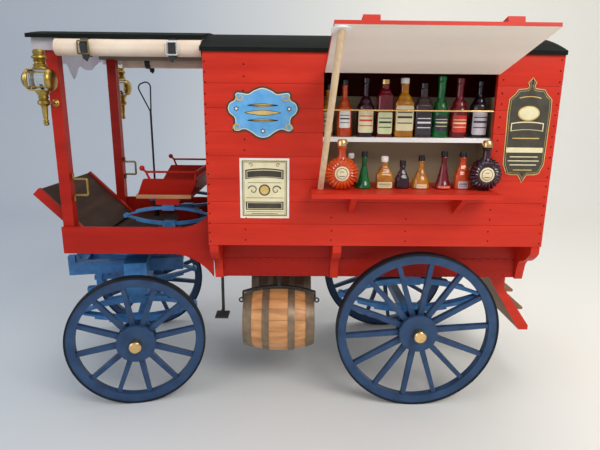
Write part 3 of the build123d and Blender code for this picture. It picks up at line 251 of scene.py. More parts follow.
for finish, nodes in FINISH.items():
    for node in nodes:
        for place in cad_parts[node].material_slots:
            place.material = MATERIALS[finish]

# Mesh building


def circle(count):
    """Cosine and sine of evenly spaced angles, once round."""
    return [(cos(tau * k / count), sin(tau * k / count)) for k in range(count)]


def squared(angle, power):
    """A point on a circle of radius 1, drawn out to a square where the power is above 2."""
    c, s = cos(angle), sin(angle)
    size = (abs(c) ** power + abs(s) ** power) ** (1 / power)
    return c / size, s / size


def join_rows(mesh, rows, closed=True):
    """Faces between each row of points and the next, all the way round where the rows are closed."""
    for low, high in zip(rows, rows[1:]):
        for k in range(len(low) if closed else len(low) - 1):
            after = (k + 1) % len(low)
            mesh.faces.new((low[k], low[after], high[after], high[k]))


def ease(part, edges, offset):
    """Rounds off edges of a solid."""
    bmesh.ops.bevel(part, geom=edges, offset=offset, segments=2, profile=0.7, affect="EDGES",
                    clamp_overlap=True)


def mesh_data(name, mesh):
    """Smooth mesh data made from an edit mesh, which is freed."""
    data = bpy.data.meshes.new(name)
    mesh.to_mesh(data)
    mesh.free()
    data.polygons.foreach_set("use_smooth", [True] * len(data.polygons))
    return data


def placed(name, data):
    """A new object in the scene."""
    made = bpy.data.objects.new(name, data)
    bpy.context.collection.objects.link(made)
    return made


class Build:
    """Collects the solids of one piece, given in millimetres of a base, and makes the object."""

    def __init__(self, base=W):
        self.base = base
        self.mesh = bmesh.new()

    def take(self, part, index=0):
        """Moves a finished solid into the piece, its faces turned outward."""
        bmesh.ops.recalc_face_normals(part, faces=part.faces)
        for face in part.faces:
            face.material_index = index
        bmesh.ops.transform(part, matrix=self.base, verts=part.verts)
        flat = mesh_data("part", part)
        self.mesh.from_mesh(flat)
        bpy.data.meshes.remove(flat)

    def box(self, x, y, z, bevel=0, index=0):
        """A board between limits, its edges eased."""
        x, y, z = sorted(x), sorted(y), sorted(z)
        part = bmesh.new()
        bmesh.ops.create_cube(part, size=1)
        size = Matrix.Diagonal((x[1] - x[0], y[1] - y[0], z[1] - z[0], 1))
        centre = Matrix.Translation((sum(x) / 2, sum(y) / 2, sum(z) / 2))
        bmesh.ops.transform(part, matrix=centre @ size, verts=part.verts)
        if bevel:
            ease(part, part.edges[:], bevel)
        self.take(part, index)

    def plate(self, outline, depth, place, bevel=0, index=0):
        """A flat shape given in its own x and y, thickened along its own z; place puts it in the base."""
        part = bmesh.new()
        face = part.faces.new([part.verts.new((x, y, 0)) for x, y in outline])
        face.normal_update()
        if face.normal.z < 0:
            face.normal_flip()
        top = bmesh.ops.extrude_face_region(part, geom=[face])["geom"]
        raised = [v for v in top if isinstance(v, bmesh.types.BMVert)]
        bmesh.ops.translate(part, verts=raised, vec=(0, 0, depth))
        bmesh.ops.recalc_face_normals(part, faces=part.faces)
        if bevel:
            ease(part, [e for e in part.edges if all(v.co.z > depth / 2 for v in e.verts)], bevel)
        bmesh.ops.transform(part, matrix=place, verts=part.verts)
        self.take(part, index)

    def lathe(self, profile, place, count=28, index=0, power=2, share=1, ribs=0, rise=0):
        """Rings of (radius, height) about the place's own z; share flattens them and ribs run up them."""
        part = bmesh.new()
        rings = []
        for radius, height in profile:
            ring = []
            for k in range(count):
                a = tau * (k + 0.5) / count
                x, y = squared(a, power)
                reach = radius * (1 + rise * cos(ribs * a))
                ring.append(part.verts.new((reach * x, reach * y * share, height)))
            rings.append(ring)
        join_rows(part, rings)
        part.faces.new(rings[0][::-1])
        part.faces.new(rings[-1])
        bmesh.ops.transform(part, matrix=place, verts=part.verts)
        self.take(part, index)

    def tube(self, points, radius, count=8, closed=False, index=0, flat=1):
        """A round or flattened bar along a smooth run of points; radius may be one number or one each."""
        points = [Vector(p) for p in points]
        number = len(points)
        radii = radius if isinstance(radius, list) else [radius] * number
        part = bmesh.new()
        rings, side = [], None
        for k, point in enumerate(points):
            before = points[k - 1] if (k or closed) else point
            after = points[(k + 1) % number] if (k < number - 1 or closed) else point
            along = (after - before).normalized()
            if side is None:
                side = along.orthogonal().normalized()
            side = (side - along * side.dot(along)).normalized()
            other = along.cross(side) * flat
            spread = [(side * c + other * s) * radii[k] for c, s in circle(count)]
            rings.append([part.verts.new(point + out) for out in spread])
        join_rows(part, rings + rings[:1] if closed else rings)
        if not closed:
            part.faces.new(rings[0][::-1])
            part.faces.new(rings[-1])
        self.take(part, index)

    def done(self, name, slot, finishes, body="wagon_body", replaces=(), sharp=35):
        """Makes the object, gives it one finish or more and ties it to its body."""
        mesh = mesh_data(name, self.mesh)
        for finish in [finishes] if isinstance(finishes, str) else finishes:
            mesh.materials.append(MATERIALS[finish])
        mesh.set_sharp_from_angle(angle=radians(sharp))
        piece = placed(name, mesh)
        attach(piece, body)
        if replaces:
            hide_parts(*replaces)
        return piece


def facing(origin, normal, right=(1, 0, 0)):
    """A place with its own z along the normal and its own x to the right."""
    z = Vector(normal).normalized()
    x = Vector(right)
    x = (x - z * x.dot(z)).normalized()
    y = z.cross(x)
    turn = Matrix((x, y, z)).transposed().to_4x4()
    return Matrix.Translation(origin) @ turn


def smooth_loop(points):
    """A closed smooth outline through the points."""
    out, number = [], len(points)
    for k in range(number):
        p = [Vector(points[(k + j - 1) % number]) for j in range(4)]
        slope = p[2] - p[0]
        bend = 2 * p[0] - 5 * p[1] + 4 * p[2] - p[3]
        twist = 3 * p[1] - p[0] - 3 * p[2] + p[3]
        for t in (0, 0.25, 0.5, 0.75):
            out.append(0.5 * (2 * p[1] + slope * t + bend * t**2 + twist * t**3))
    return out


def inset(outline, distance):
    """The outline drawn in by a distance."""
    points = [Vector(p) for p in outline]
    area = sum(a.x * b.y - b.x * a.y for a, b in zip(points, points[1:] + points[:1]))
    sign = 1 if area > 0 else -1
    out = []
    for k, p in enumerate(points):
        along = (points[(k + 1) % len(points)] - points[k - 1]).normalized()
        out.append(p + Vector((-along.y, along.x)) * sign * distance)
    return out


def scaled(outline, wide, high):
    """The outline with its own width and height multiplied."""
    return [(x * wide, y * high) for x, y in outline]


def profile_point(key, after, t):
    """Radius and height a share of the way from one key of a profile to the next."""
    smooth = t * t * (3 - 2 * t)
    return key[0] + (after[0] - key[0]) * smooth, key[1] + (after[1] - key[1]) * t


def round_profile(keys):
    """A smooth profile through the key radii and heights."""
    smooth = [profile_point(a, b, step / 4) for a, b in zip(keys, keys[1:]) for step in range(4)]
    return smooth + [keys[-1]]


def radius_at(keys, z):
    """Radius of a profile at a height."""
    for key, after in zip(keys, keys[1:]):
        if key[1] <= z <= after[1]:
            return profile_point(key, after, (z - key[1]) / (after[1] - key[1]))[0]
    return keys[-1][0]


# Camera, floor and light

YAW, PITCH, ROLL, FOCAL_PX, PICTURE_PX = 0.0137, 0.240, 0.0099, 492.5, 600
EYE = (0, -541.1, 296.1)
camera_data = bpy.data.cameras.new("camera")
camera = placed("camera", camera_data)
bpy.context.scene.camera = camera
forward = Vector((sin(YAW) * cos(PITCH), cos(YAW) * cos(PITCH), -sin(PITCH)))
level = Vector((cos(YAW), -sin(YAW), 0))
upward = level.cross(forward)
right = level * cos(ROLL) + upward * sin(ROLL)
up = upward * cos(ROLL) - level * sin(ROLL)
aim = Matrix((right, up, -forward)).transposed().to_4x4()
camera.matrix_world = Matrix.Translation(W @ Vector(EYE)) @ aim
camera_data.sensor_width = 36
camera_data.lens = FOCAL_PX / PICTURE_PX * camera_data.sensor_width
camera_data.clip_start = 0.02


def backdrop():
    """A sheet that lies as the floor and sweeps up behind, with painted light falloff across it: cool and dim
    on the left, warm and bright on the right.
    """
    start, radius, top, steps = 750, 420, 2600, 12
    sweep = [(y, 0) for y in (-1600, -900, -200, 250, start)]
    for k in range(1, steps + 1):
        a = radians(90 * k / steps)
        sweep.append((start + radius * sin(a), radius * (1 - cos(a))))
    sweep.append((start + radius, top))
    mesh = bmesh.new()
    columns = [[mesh.verts.new(W @ Vector((x, y, z))) for y, z in sweep] for x in (-2600, -800, 800, 2600)]
    join_rows(mesh, list(zip(*columns)), closed=False)
    data = mesh_data("floor", mesh)
    mat = surface("floor", (226, 224, 222), (232, 230, 228), 0.7, EVEN, 3, 0.02, 40)
    nodes, link = mat.node_tree.nodes, mat.node_tree.links.new
    split = add(nodes, "SeparateXYZ")
    link(nodes["Texture Coordinate"].outputs["Object"], split.inputs[0])
    # Painted light falloff: the sheet's colour runs from a dim cool grey on the left to a bright warm white
    # on the right.
    painted_light_span = add(nodes, "MapRange", From_Min=-0.45, From_Max=0.35)
    link(split.outputs["X"], painted_light_span.inputs["Value"])
    painted_light_tint = add(nodes, "Mix")
    painted_light_tint.data_type = "RGBA"
    put(painted_light_tint, A=srgb(192, 200, 209), B=srgb(250, 248, 238))
    link(painted_light_span.outputs[0], painted_light_tint.inputs["Factor"])
    link(painted_light_tint.outputs["Result"], nodes["Principled BSDF"].inputs["Base Color"])
    data.materials.append(mat)
    floor = placed("floor", data)


def soft_light(name, place, aim, size, power, colour=(1, 1, 1)):
    """A soft area light."""
    data = bpy.data.lights.new(name, "AREA")
    data.shape = "RECTANGLE"
    data.size, data.size_y = size
    data.energy = power
    data.color = colour
    light = placed(name, data)
    light.location = W @ Vector(place)
    toward = (W @ Vector(aim)) - light.location
    light.rotation_mode = "QUATERNION"
    light.rotation_quaternion = toward.to_track_quat("-Z", "Y")


backdrop()
soft_light("key", (700, -1100, 1150), (0, 0, 170), (0.9, 0.7), 14, (1, 0.97, 0.93))
soft_light("fill", (-1200, -900, 700), (0, 0, 150), (1, 1), 5, (0.92, 0.96, 1))
soft_light("top", (0, 100, 1500), (0, 0, 150), (1.2, 0.8), 6)
world = bpy.data.worlds.new("world")
world.use_nodes = True
put(world.node_tree.nodes["Background"], Color=(0.9, 0.93, 1, 1), Strength=0.45)
bpy.context.scene.world = world
bpy.context.scene.view_settings.view_transform = "Standard"

# Box planks and nails

FLOOR_Z, PLANK, JOINT, ROOF_GAP = 168.2, 20.75, 0.12, 0.5
BOX_X, HATCH_X, HATCH_Z = (-78.6, 232.6), (25.5, 176.5), (218.2, 324.5)
NAIL_COLUMNS, EDGE_NAILS = (-43.9, 35.2, 104.1, 181.1), (-77, 229.8)
FRONT_X, REAR_X, END_NAILS = -78, 232, (-95.5, -40.5, 40.5, 95.5)
DOORWAY_HALF, DOORWAY_TOP, COUNTER_HIGH = 36.2, 306, 16


def nail(build, spot, normal, radius=0.62):
    """A low nail head standing on a face."""
    build.lathe([(radius, 0), (radius, 0.12), (radius * 0.6, 0.3)], facing(spot, normal), 8)


def row_heights(top):
    """Lower and upper edge of each row of planks up to this height."""
    low = FLOOR_Z
    while low < top - 2:
        high = low + PLANK if top - low > 1.5 * PLANK else top
        yield low, high
        low = high


def side_planks(name, side):
    """Horizontal planks over a box side, cut round the hatch on the near one."""
    build, heads = Build(), Build()
    top = under(BOX_ARCH, 99.8) - ROOF_GAP
    face = (side * 98.9, side * FACE_Y)
    for low, high in row_heights(top):
        runs = [BOX_X]
        cut_low, cut_high = max(low, HATCH_Z[0]), min(high, HATCH_Z[1])
        if side < 0 and cut_high - cut_low > 0.5:
            runs = [(BOX_X[0], HATCH_X[0]), (HATCH_X[1], BOX_X[1])]
            for rest in ((low, cut_low), (cut_high, high)):
                if rest[1] - rest[0] > 1:
                    build.box(HATCH_X, face, (rest[0] + 0.1, rest[1] - 0.1), 0.12)
        for run in runs:
            build.box(run, face, (low + JOINT, high - JOINT), 0.25)
        for x in NAIL_COLUMNS:
            for share in (0.27, 0.73):
                z = low + PLANK * share + uniform(-0.8, 0.8)
                behind = HATCH_Z[0] - COUNTER_HIGH < z < HATCH_Z[1] + 2
                hatch = side < 0 and HATCH_X[0] < x < HATCH_X[1] and behind
                if z < top - 1.5 and not hatch:
                    nail(heads, (x + uniform(-0.5, 0.5), side * FACE_Y, z), (0, side, 0), 0.75)
    for x in EDGE_NAILS:
        z = FLOOR_Z + 3.5
        while z < top - 1.5:
            nail(heads, (x + uniform(-0.4, 0.4), side * FACE_Y, z), (0, side, 0), 0.75)
            z += uniform(8.2, 9.8)
    build.done(name, "red_paint", "red_paint")
    heads.done(name + "_nails", "iron", "nail")


def end_planks(name, x, outward, doorway):
    """Planks over an end wall, their tops cut to the roof's arch."""
    build, heads = Build(), Build()
    across = facing((x, 0, 0), (outward, 0, 0), (0, outward, 0))
    for low, high in row_heights(ROOF_Z - 3.8):
        runs = [(-WALL_Y, WALL_Y)]
        if doorway and low < DOORWAY_TOP:
            runs = [(-WALL_Y, -DOORWAY_HALF), (DOORWAY_HALF, WALL_Y)]
        for left, end in runs:
            across_y = [end + (left - end) * k / 24 for k in range(25)]
            edge = [(y, min(high - JOINT, under(BOX_ARCH, y) - ROOF_GAP)) for y in across_y]
            keep = [(y, z) for y, z in edge if z > low + 0.4]
            if len(keep) < 2:
                continue
            outline = [(keep[-1][0], low + JOINT), (keep[0][0], low + JOINT)] + keep
            build.plate(scaled(outline, outward, 1), SKIN, across, 0.2)
        for y in END_NAILS:
            for share in (0.25, 0.75):
                z = low + (high - low) * share
                if z < under(BOX_ARCH, y) - 2:
                    nail(heads, (x + outward * SKIN, y + uniform(-0.4, 0.4), z), (outward, 0, 0))
    build.done(name, "red_paint", "red_paint")
    heads.done(name + "_nails", "iron", "nail")


for side, word in SIDES:
    side_planks("planks_" + word, side)
end_planks("planks_front", FRONT_X, -1, False)
end_planks("planks_rear", REAR_X, 1, True)

LOWER_Y, LOWER_ROWS, LOWER_NAILS = 69.9, ((127.5, 147.1), (147.5, 168.1)), (145.8, 129.7)
lower_planks, lower_nails = Build(), Build()
for side in (-1, 1):
    for z in LOWER_ROWS:
        lower_planks.box((FRONT_X, REAR_X), (side * (LOWER_Y - 0.5), side * LOWER_Y), z, 0.15)
    for z in LOWER_NAILS:
        for k in range(36):
            spot = (k * 8.2 - 66, side * LOWER_Y, z + uniform(-0.5, 0.5))
            nail(lower_nails, spot, (0, side, 0), 0.55)
# The lower planks take the darker red, painted shade under the box's overhang.
lower_planks.done("lower_planks", "red_paint", "red_paint_lower")
lower_nails.done("lower_nails", "iron", "nail")

DOOR_HALF, DOOR_Z, DOOR_BOARDS = 35.5, (134.6, 305.4), 4
door_boards = Build()
for k in range(DOOR_BOARDS):
    width = 2 * DOOR_HALF / DOOR_BOARDS
    left = k * width - DOOR_HALF
    door_boards.box((REAR_X, REAR_X + 0.35), (left + 0.15, left + width - 0.15), DOOR_Z, 0.15)
door_boards.done("door_boards", "red_paint", "red_paint", "door")

# Signs: a blank ornate plaque, a plain bill with a ruled frame, and a tall dark tablet

SIDE_FACE = facing((0, -FACE_Y, 0), (0, -1, 0))
CURL_POINTS = 22


def on_side(x, z):
    """A place on the near side's planks, facing out."""
    return SIDE_FACE @ Matrix.Translation((x, z, 0))


def layers(build, outline, place, rows):
    """Plates of one outline over each other: how far each is drawn in, its depth, bevel and finish."""
    for distance, depth, bevel, index in rows:
        build.plate(inset(outline, distance), depth, place, bevel, index)


def curl(build, x, z, size, flip, turn, hand, lift, radii, index, flat=1):
    """A scroll that curls in on itself, mirrored where flip is below 0."""
    start = turn if flip > 0 else pi - turn
    points = []
    for k in range(CURL_POINTS):
        a = start + hand * flip * k * 0.32
        r = size * (1 - k / 26)
        points.append((x + r * cos(a), -FACE_Y - lift, z + r * sin(a)))
    build.tube(points, [radii[0] - radii[1] * k for k in range(CURL_POINTS)], 6, index=index, flat=flat)


def bowed_strip(reach, high, bow):
    """A strip of this half width and half height, both its edges bowed up in the middle."""
    top = [(reach * (k / 6 - 1), high + bow * (1 - (k / 6 - 1) ** 2)) for k in range(13)]
    return [(x, z - 2 * high) for x, z in reversed(top)] + top


def ornate_plaque():
    """The blue plaque with its scrolled outline, curls, bars and rosettes."""
    x, z = -27.4, 288.6
    half = [(0, 22.6), (8, 20.2), (12.5, 17.5), (17, 18), (22.5, 18.4), (25.2, 15.6), (25.3, 12),
            (29.8, 9), (31.8, 3.8), (30, -1.2), (26, -4.8), (25.6, -9.2), (27, -12), (26, -16),
            (21.5, -17), (16.5, -15.4), (11, -17.8), (6, -21.3)]
    shape = smooth_loop(half + [(0, -22.8)] + [(-a, b) for a, b in half[:0:-1]])
    plaque = Build()
    layers(plaque, shape, on_side(x, z), ((0, 0.6, 0.15, 0), (1.5, 0.75, 0.1, 1), (2.2, 0.85, 0.1, 2)))
    for off_x, off_z, hand, turn in ((19.5, 13, -1, 0.4), (22.5, -12.5, 1, -0.4)):
        for flip in (-1, 1):
            curl(plaque, x + flip * off_x, z + off_z, 3.6, flip, turn, hand, 0.95, (0.75, 0.022), 3)
    for off_z, reach, high in ((6.5, 13.5, 1.5), (0.2, 16, 2.4), (-6.3, 13.5, 1.5)):
        bar = [(-1, 0), (-0.5, 0.7), (0, 1), (0.5, 0.7), (1, 0), (0.5, -0.7), (0, -1), (-0.5, -0.7)]
        shape = smooth_loop(scaled(bar, reach, high))
        layers(plaque, shape, on_side(x, z + off_z), ((0, 1.1, 0.1, 0), (0.45, 1.25, 0.1, 3)))
    petals = [(r * c, r * s) for (c, s), r in zip(circle(12), (1.43, 2.6) * 6)]
    for off_x, off_z in ((-23, 3.5), (23, 3.5), (0, -15.5)):
        rosette = on_side(x + off_x, z + off_z)
        plaque.plate(petals, 1.1, rosette, 0.1, 0)
        plaque.lathe([(1.1, 0.8), (1.1, 1.2), (0.5, 1.5)], rosette, 12, 4)
    plaque.done("plaque", "lid_cream", ("sign_dark", "sign_cream", "sign_blue", "sign_gold", "sign_white"))


def bill():
    """The pale bill with its ruled frames, two blank panels, two pairs of curls and a medal."""
    x, z = (-48.6, -4.1), (194.4, 249.2)
    mid = sum(x) / 2
    paper = Build()
    for margin, depth, index in ((0, 0.25, 0), (1.2, 0.32, 1)):
        paper.box((x[0] + margin, x[1] - margin), (-FACE_Y - depth, -FACE_Y), (z[0] + margin, z[1] - margin),
                  0.05, index)
    for margin, width in ((2.2, 0.7), (3.6, 0.3)):
        x0, x1, z0, z1 = x[0] + margin, x[1] - margin, z[0] + margin, z[1] - margin
        for line in (((x0, x1), (z0, z0 + width)), ((x0, x1), (z1 - width, z1)),
                     ((x0, x0 + width), (z0, z1)), ((x1 - width, x1), (z0, z1))):
            paper.box(line[0], (-FACE_Y - 0.4, -FACE_Y), line[1], 0.05, 2)
    for panel_z, high, bow in ((234.5, 4.2, 1.6), (206, 3.8, 0)):
        strip = bowed_strip(17.2, high, bow)
        for wide, tall, depth, index in ((1, 1, 0.42, 2), (0.93, 0.78, 0.5, 1), (0.9, 0.66, 0.58, 2)):
            paper.plate(scaled(strip, wide, tall), depth, on_side(mid, panel_z), 0.05, index)
    for flip in (-1, 1):
        for off_x, curl_z, size in ((10.5, 220.5, 4.4), (12, 243, 2)):
            radii = (0.16 * size, 0.004 * size)
            curl(paper, mid + flip * off_x, curl_z, size, flip, 0.3, 1, 0.5, radii, 2, 0.5)
    for radius, high, index in ((5.2, 0.5, 2), (4, 0.65, 3)):
        medal = [(radius, 0), (radius, high), (radius - 0.6, high + 0.1)]
        paper.lathe(medal, on_side(mid, 220.5), 28, index)
    for line_z, reach in ((213.3, 17), (200.4, 17), (198.6, 12), (227.2, 15)):
        paper.box((mid - reach, mid + reach), (-FACE_Y - 0.4, -FACE_Y), (line_z - 0.2, line_z + 0.2), 0.03, 2)
    paper.done("bill", "lid_cream", ("sign_white", "sign_cream", "sign_dark", "sign_gold"))


def tablet():
    """The tall dark tablet with its gold rims, an oval and blank bars."""
    x, z = 206.4, 274.8
    half = [(0, 46.3), (1.3, 44.4), (3.9, 41.6), (2.6, 38.8), (3.4, 37), (7.4, 36.4), (11.6, 36),
            (14.3, 32), (18.8, 27.6), (19.4, 15), (19, 0), (18.8, -15), (18.6, -29), (15, -37.6),
            (10.6, -38.8), (4.2, -38.9), (2.2, -42), (0, -46.3)]
    outline = half + [(-a, b) for a, b in half[-2:0:-1]]
    rims = ((0, 0.5, 0.1, 1), (0.7, 0.6, 0.1, 0), (1.9, 0.66, 0.05, 1), (2.2, 0.74, 0.05, 0))
    sign = Build()
    layers(sign, outline, on_side(x, z), rims)
    oval = scaled(circle(36), 9.6, 6.4)
    layers(sign, oval, on_side(x - 0.5, z + 15.6), ((0, 0.9, 0.1, 1), (1, 1, 0.1, 2)))
    bars = ((28.5, 9.5, 0.45, 1.4, 1), (3.6, 14.5, 3.6, 1.4, 2), (-6, 12, 0.45, 0, 1),
            (-16.4, 16.4, 2.2, 0, 3), (-22.4, 12.5, 0.4, 0, 2), (-26, 14, 0.4, 0, 2),
            (-29.6, 12, 0.4, 0, 2), (-34.2, 8.5, 0.4, 0, 1))
    for off_z, reach, high, bow, index in bars:
        strip = bowed_strip(reach, high, bow)
        here = on_side(x - 0.6, z + off_z)
        sign.plate(strip, 0.85, here, 0.04, index)
        if high > 3:
            sign.plate(scaled(strip, 0.94, 0.8), 0.95, here, 0.04, 0)
    sign.done("tablet", "roof_green", ("tablet", "sign_gold", "sign_cream", "sign_cream"))


ornate_plaque()
bill()
tablet()

# Bottles

for tone in ("cream", "white"):
    MATERIALS["label_" + tone] = MATERIALS["sign_" + tone]
CAPS = {"gold": "brass", "white": "sign_white", "dark": "glass_black", "green": "glass_green",
        "maroon": "glass_maroon"}
COUNTER_TOP, SHELF_TOP, CAP_HIGH = 222.6, 268, 5
UPPER_Y, LABEL_ROWS, LABEL_COLUMNS = -84, 16, 14
UPRIGHT = Matrix.Identity(4)


def wrap_label(item, keys, power, share, wide, low, high):
    """A blank label wrapped round the front of a bottle, with bars of a second colour over it."""
    for index, grow, margin, filled in ((2, 0.16, 0, range(LABEL_ROWS)), (3, 0.24, 0.16, (3, 8, 9, 13))):
        mesh = bmesh.new()
        rows = []
        for j in range(LABEL_ROWS + 1):
            z = low + (high - low) * (margin + (1 - 2 * margin) * j / LABEL_ROWS)
            r = radius_at(keys, z) + grow
            reach = wide * (1 - margin) * (0.86 if j in (0, LABEL_ROWS) else 1)
            row = []
            for k in range(LABEL_COLUMNS + 1):
                x, y = squared(reach * (2 * k / LABEL_COLUMNS - 1) - pi / 2, power)
                row.append(mesh.verts.new((r * x, r * y * share, z)))
            rows.append(row)
        for j in filled:
            join_rows(mesh, rows[j:j + 2], closed=False)
        bmesh.ops.delete(mesh, geom=[v for v in mesh.verts if not v.link_faces], context="VERTS")
        bmesh.ops.solidify(mesh, geom=mesh.faces[:], thickness=0.08)
        item.take(mesh, index)


def bottle(name, x, y, z, foot, keys, power, share, glass, cap, label):
    """One bottle: body with rounded foot, neck with a lip, cap, and a blank label on the front."""
    item = Build(W @ Matrix.Translation((x, y, z)))
    neck, height = keys[-1]
    cap_low = height - CAP_HIGH
    keys = [(foot * 0.9, 0.05), (foot, 1), (foot, 1)] + keys
    body = [key for key in keys if key[1] < cap_low] + [(neck, cap_low)]
    lip = [(neck + 0.55, cap_low - 1), (neck + 0.75, cap_low - 0.5), (neck + 0.55, cap_low)]
    wide = neck + 0.65
    top = [(neck + 0.2, cap_low), (wide, cap_low + 0.5), (wide, height - 0.7), (neck + 0.1, height)]
    item.lathe(round_profile(body), UPRIGHT, 32, 0, power, share)
    item.lathe(lip, UPRIGHT, 24, 0)
    item.lathe(top, UPRIGHT, 24, 1, ribs=12, rise=0.02)
    finishes = ["glass_" + glass, CAPS[cap]]
    if label:
        wrap_label(item, keys, power, share, *label[:3])
        finishes += ["label_" + tone for tone in label[3:]]
    return item.done(name, "bottle_glass", finishes)


UPPER = (  # x, half width, body height, neck, height, power, depth share, glass, cap, label
    (30.5, 4.6, 26, 2.2, 46, 2, 1, "amber", "dark", (1.1, 4, 22, "cream", "red")),
    (45.5, 7, 24, 2.4, 50, 2, 1, "orange", "dark", (0.75, 8, 23, "white", "ink")),
    (64.5, 8, 26, 2.4, 52, 2, 1, "purple", "dark", (0.95, 4, 24, "cream", "red")),
    (81.7, 7.4, 36, 3.4, 51, 4, 0.95, "maroon", "gold", (0.8, 3, 22, "lime", "ink")),
    (99.2, 8.4, 30, 3.2, 52, 6, 0.85, "amber", "white", (0.8, 6, 28, "cream", "ink")),
    (116.8, 7.6, 28, 3, 48, 6, 0.85, "smoke", "dark", (0.8, 3, 22, "ink", "white")),
    (132.6, 7.6, 22, 3.4, 54, 2, 1, "green", "green", (0.85, 6, 20, "ink", "lime")),
    (149.2, 8, 24, 3.2, 52.5, 2, 1, "maroon", "maroon", (0.9, 5, 20, "red", "cream")),
    (167.5, 8, 28, 2.4, 50, 2, 1, "black", "dark", (0.95, 3, 24, "grey", "ink")),
)
for number, (x, half, body, neck, height, *rest) in enumerate(UPPER):
    shoulder = body + (height - body) * 0.35
    middle = ((half + neck) / 2, (body + shoulder) / 2 + 1)
    keys = [(half, body), middle, (neck, shoulder + 2), (neck, height)]
    piece = bottle(f"upper_bottle_{number}", x, UPPER_Y, SHELF_TOP, half, keys, *rest)
    if not number:
        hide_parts("upper_bottles")

LOWER = (  # x, y, foot, shoulder's radius and height, neck, height, power, depth share, glass, cap, label
    (53.5, -80, 6, 5, 18, 2.2, 30, 2, 1, "maroon", "white", None),
    (63.6, -97, 7, 4.6, 9, 2.2, 33.5, 2, 1, "green", "dark", None),
    (82, -97, 7.4, 7.4, 12, 2.6, 29, 6, 0.8, "amber", "white", (0.75, 1.2, 6.5, "cream", "ink")),
    (98.6, -96, 6.6, 6.2, 9, 2.2, 25.5, 3, 0.8, "purple", "dark", None),
    (115.6, -96, 8.2, 7.4, 7, 2.4, 30, 2, 0.8, "amber", "dark", (0.6, 1, 4.5, "cream", "red")),
    (136, -96, 7.6, 5, 10, 2.4, 34, 2, 1, "maroon", "dark", (0.9, 0.8, 3.4, "red", "cream")),
    (153, -96, 7.2, 6.8, 12, 2.6, 33.5, 5, 0.8, "orange", "dark", (0.55, 1, 7.5, "grey", "ink")),
)
for number, (x, y, foot, half, body, neck, height, *rest) in enumerate(LOWER):
    rise = height - body
    keys = [(half, body), ((half + neck) / 2, body + rise * 0.25), (neck, body + rise * 0.5), (neck, height)]
    piece = bottle(f"lower_bottle_{number}", x, y, COUNTER_TOP, foot, keys, *rest)
    if not number:
        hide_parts("lower_bottles")


def sunburst(name, x, glass):
    """A round flat flask whose faces are ribbed from the middle outward, with a round blank label."""
    y, radius, half, count, ribs = -106.5, 14.9, 5.2, 96, 24
    flask = Build(W @ facing((x, y, COUNTER_TOP + radius), (0, -1, 0)))
    part = bmesh.new()
    rings = []
    front = [(0, 1, 0), (0.42, 1, 0), (0.5, 0.98, 0.1), (0.7, 0.85, 0.5), (0.88, 0.6, 0.8), (1, 0.2, 0.7)]
    back = [(r, -lift, rib) for r, lift, rib in reversed(front) if r != 0.5]
    for r, lift, rib in front + back:
        if not r:
            rings.append([part.verts.new((0, 0, half * lift))])
            continue
        ring = []
        for k, (c, s) in enumerate(circle(count)):
            wave = cos(tau * ribs * k / count)
            ridge = 1.6 * rib * (0.5 + 0.5 * wave)
            out = radius * r * (1 - 0.09 * rib * (0.5 - 0.5 * wave))
            ring.append(part.verts.new((out * c, out * s, half * lift + copysign(ridge, lift))))
        rings.append(ring)
    for low, high in zip(rings, rings[1:]):
        for k in range(count):
            corners = [low[k % len(low)], low[(k + 1) % len(low)]]
            corners += [high[(k + 1) % len(high)], high[k % len(high)]]
            part.faces.new(list(dict.fromkeys(corners)))
    flask.take(part, 0)
    neck = facing((0, 0, 0), (0, 1, 0))
    flask.lathe([(4.4, 12.5), (3.3, 15.5), (3.2, 21), (4.2, 21.8), (4.2, 23)], neck, 28, 0)
    flask.lathe([(3.6, 23), (4.6, 23.8), (4.7, 27.4), (3.4, 29.4)], neck, 28, 1, ribs=16, rise=0.015)
    label = (((6.4, -0.5), (6.4, 0.45), (6, 0.6)), ((4.9, 0), (4.9, 0.7), (4.6, 0.75)),
             ((4.4, 0), (4.4, 0.8), (4.2, 0.85)))
    for profile, index in zip(label, (2, 3, 2)):
        flask.lathe([(r, half + z) for r, z in profile], UPRIGHT, 36, index)
    for reach, low, high in ((2.6, -2.6, -2), (1.8, 1.4, 1.9)):
        flask.box((-reach, reach), (low, high), (half, half + 0.95), 0.05, 3)
    flask.done(name, "bottle_glass", ("glass_" + glass, "brass", "sign_cream", "label_ink"))


sunburst("sunburst_left", 42.3, "orange")
sunburst("sunburst_right", 170, "purple")

# Rolled canvas curtains with their straps, and the hanging valance

ROLLS = {-1: (7.3, 342.6), 1: (6.5, 343.4)}  # radius and height of the near and the far roll
ROLL_Y, ROLL_X = 86.1, (-207, -81)
STRAPS = {-1: (-180.7, -105.5), 1: (-176.5, -105.5)}


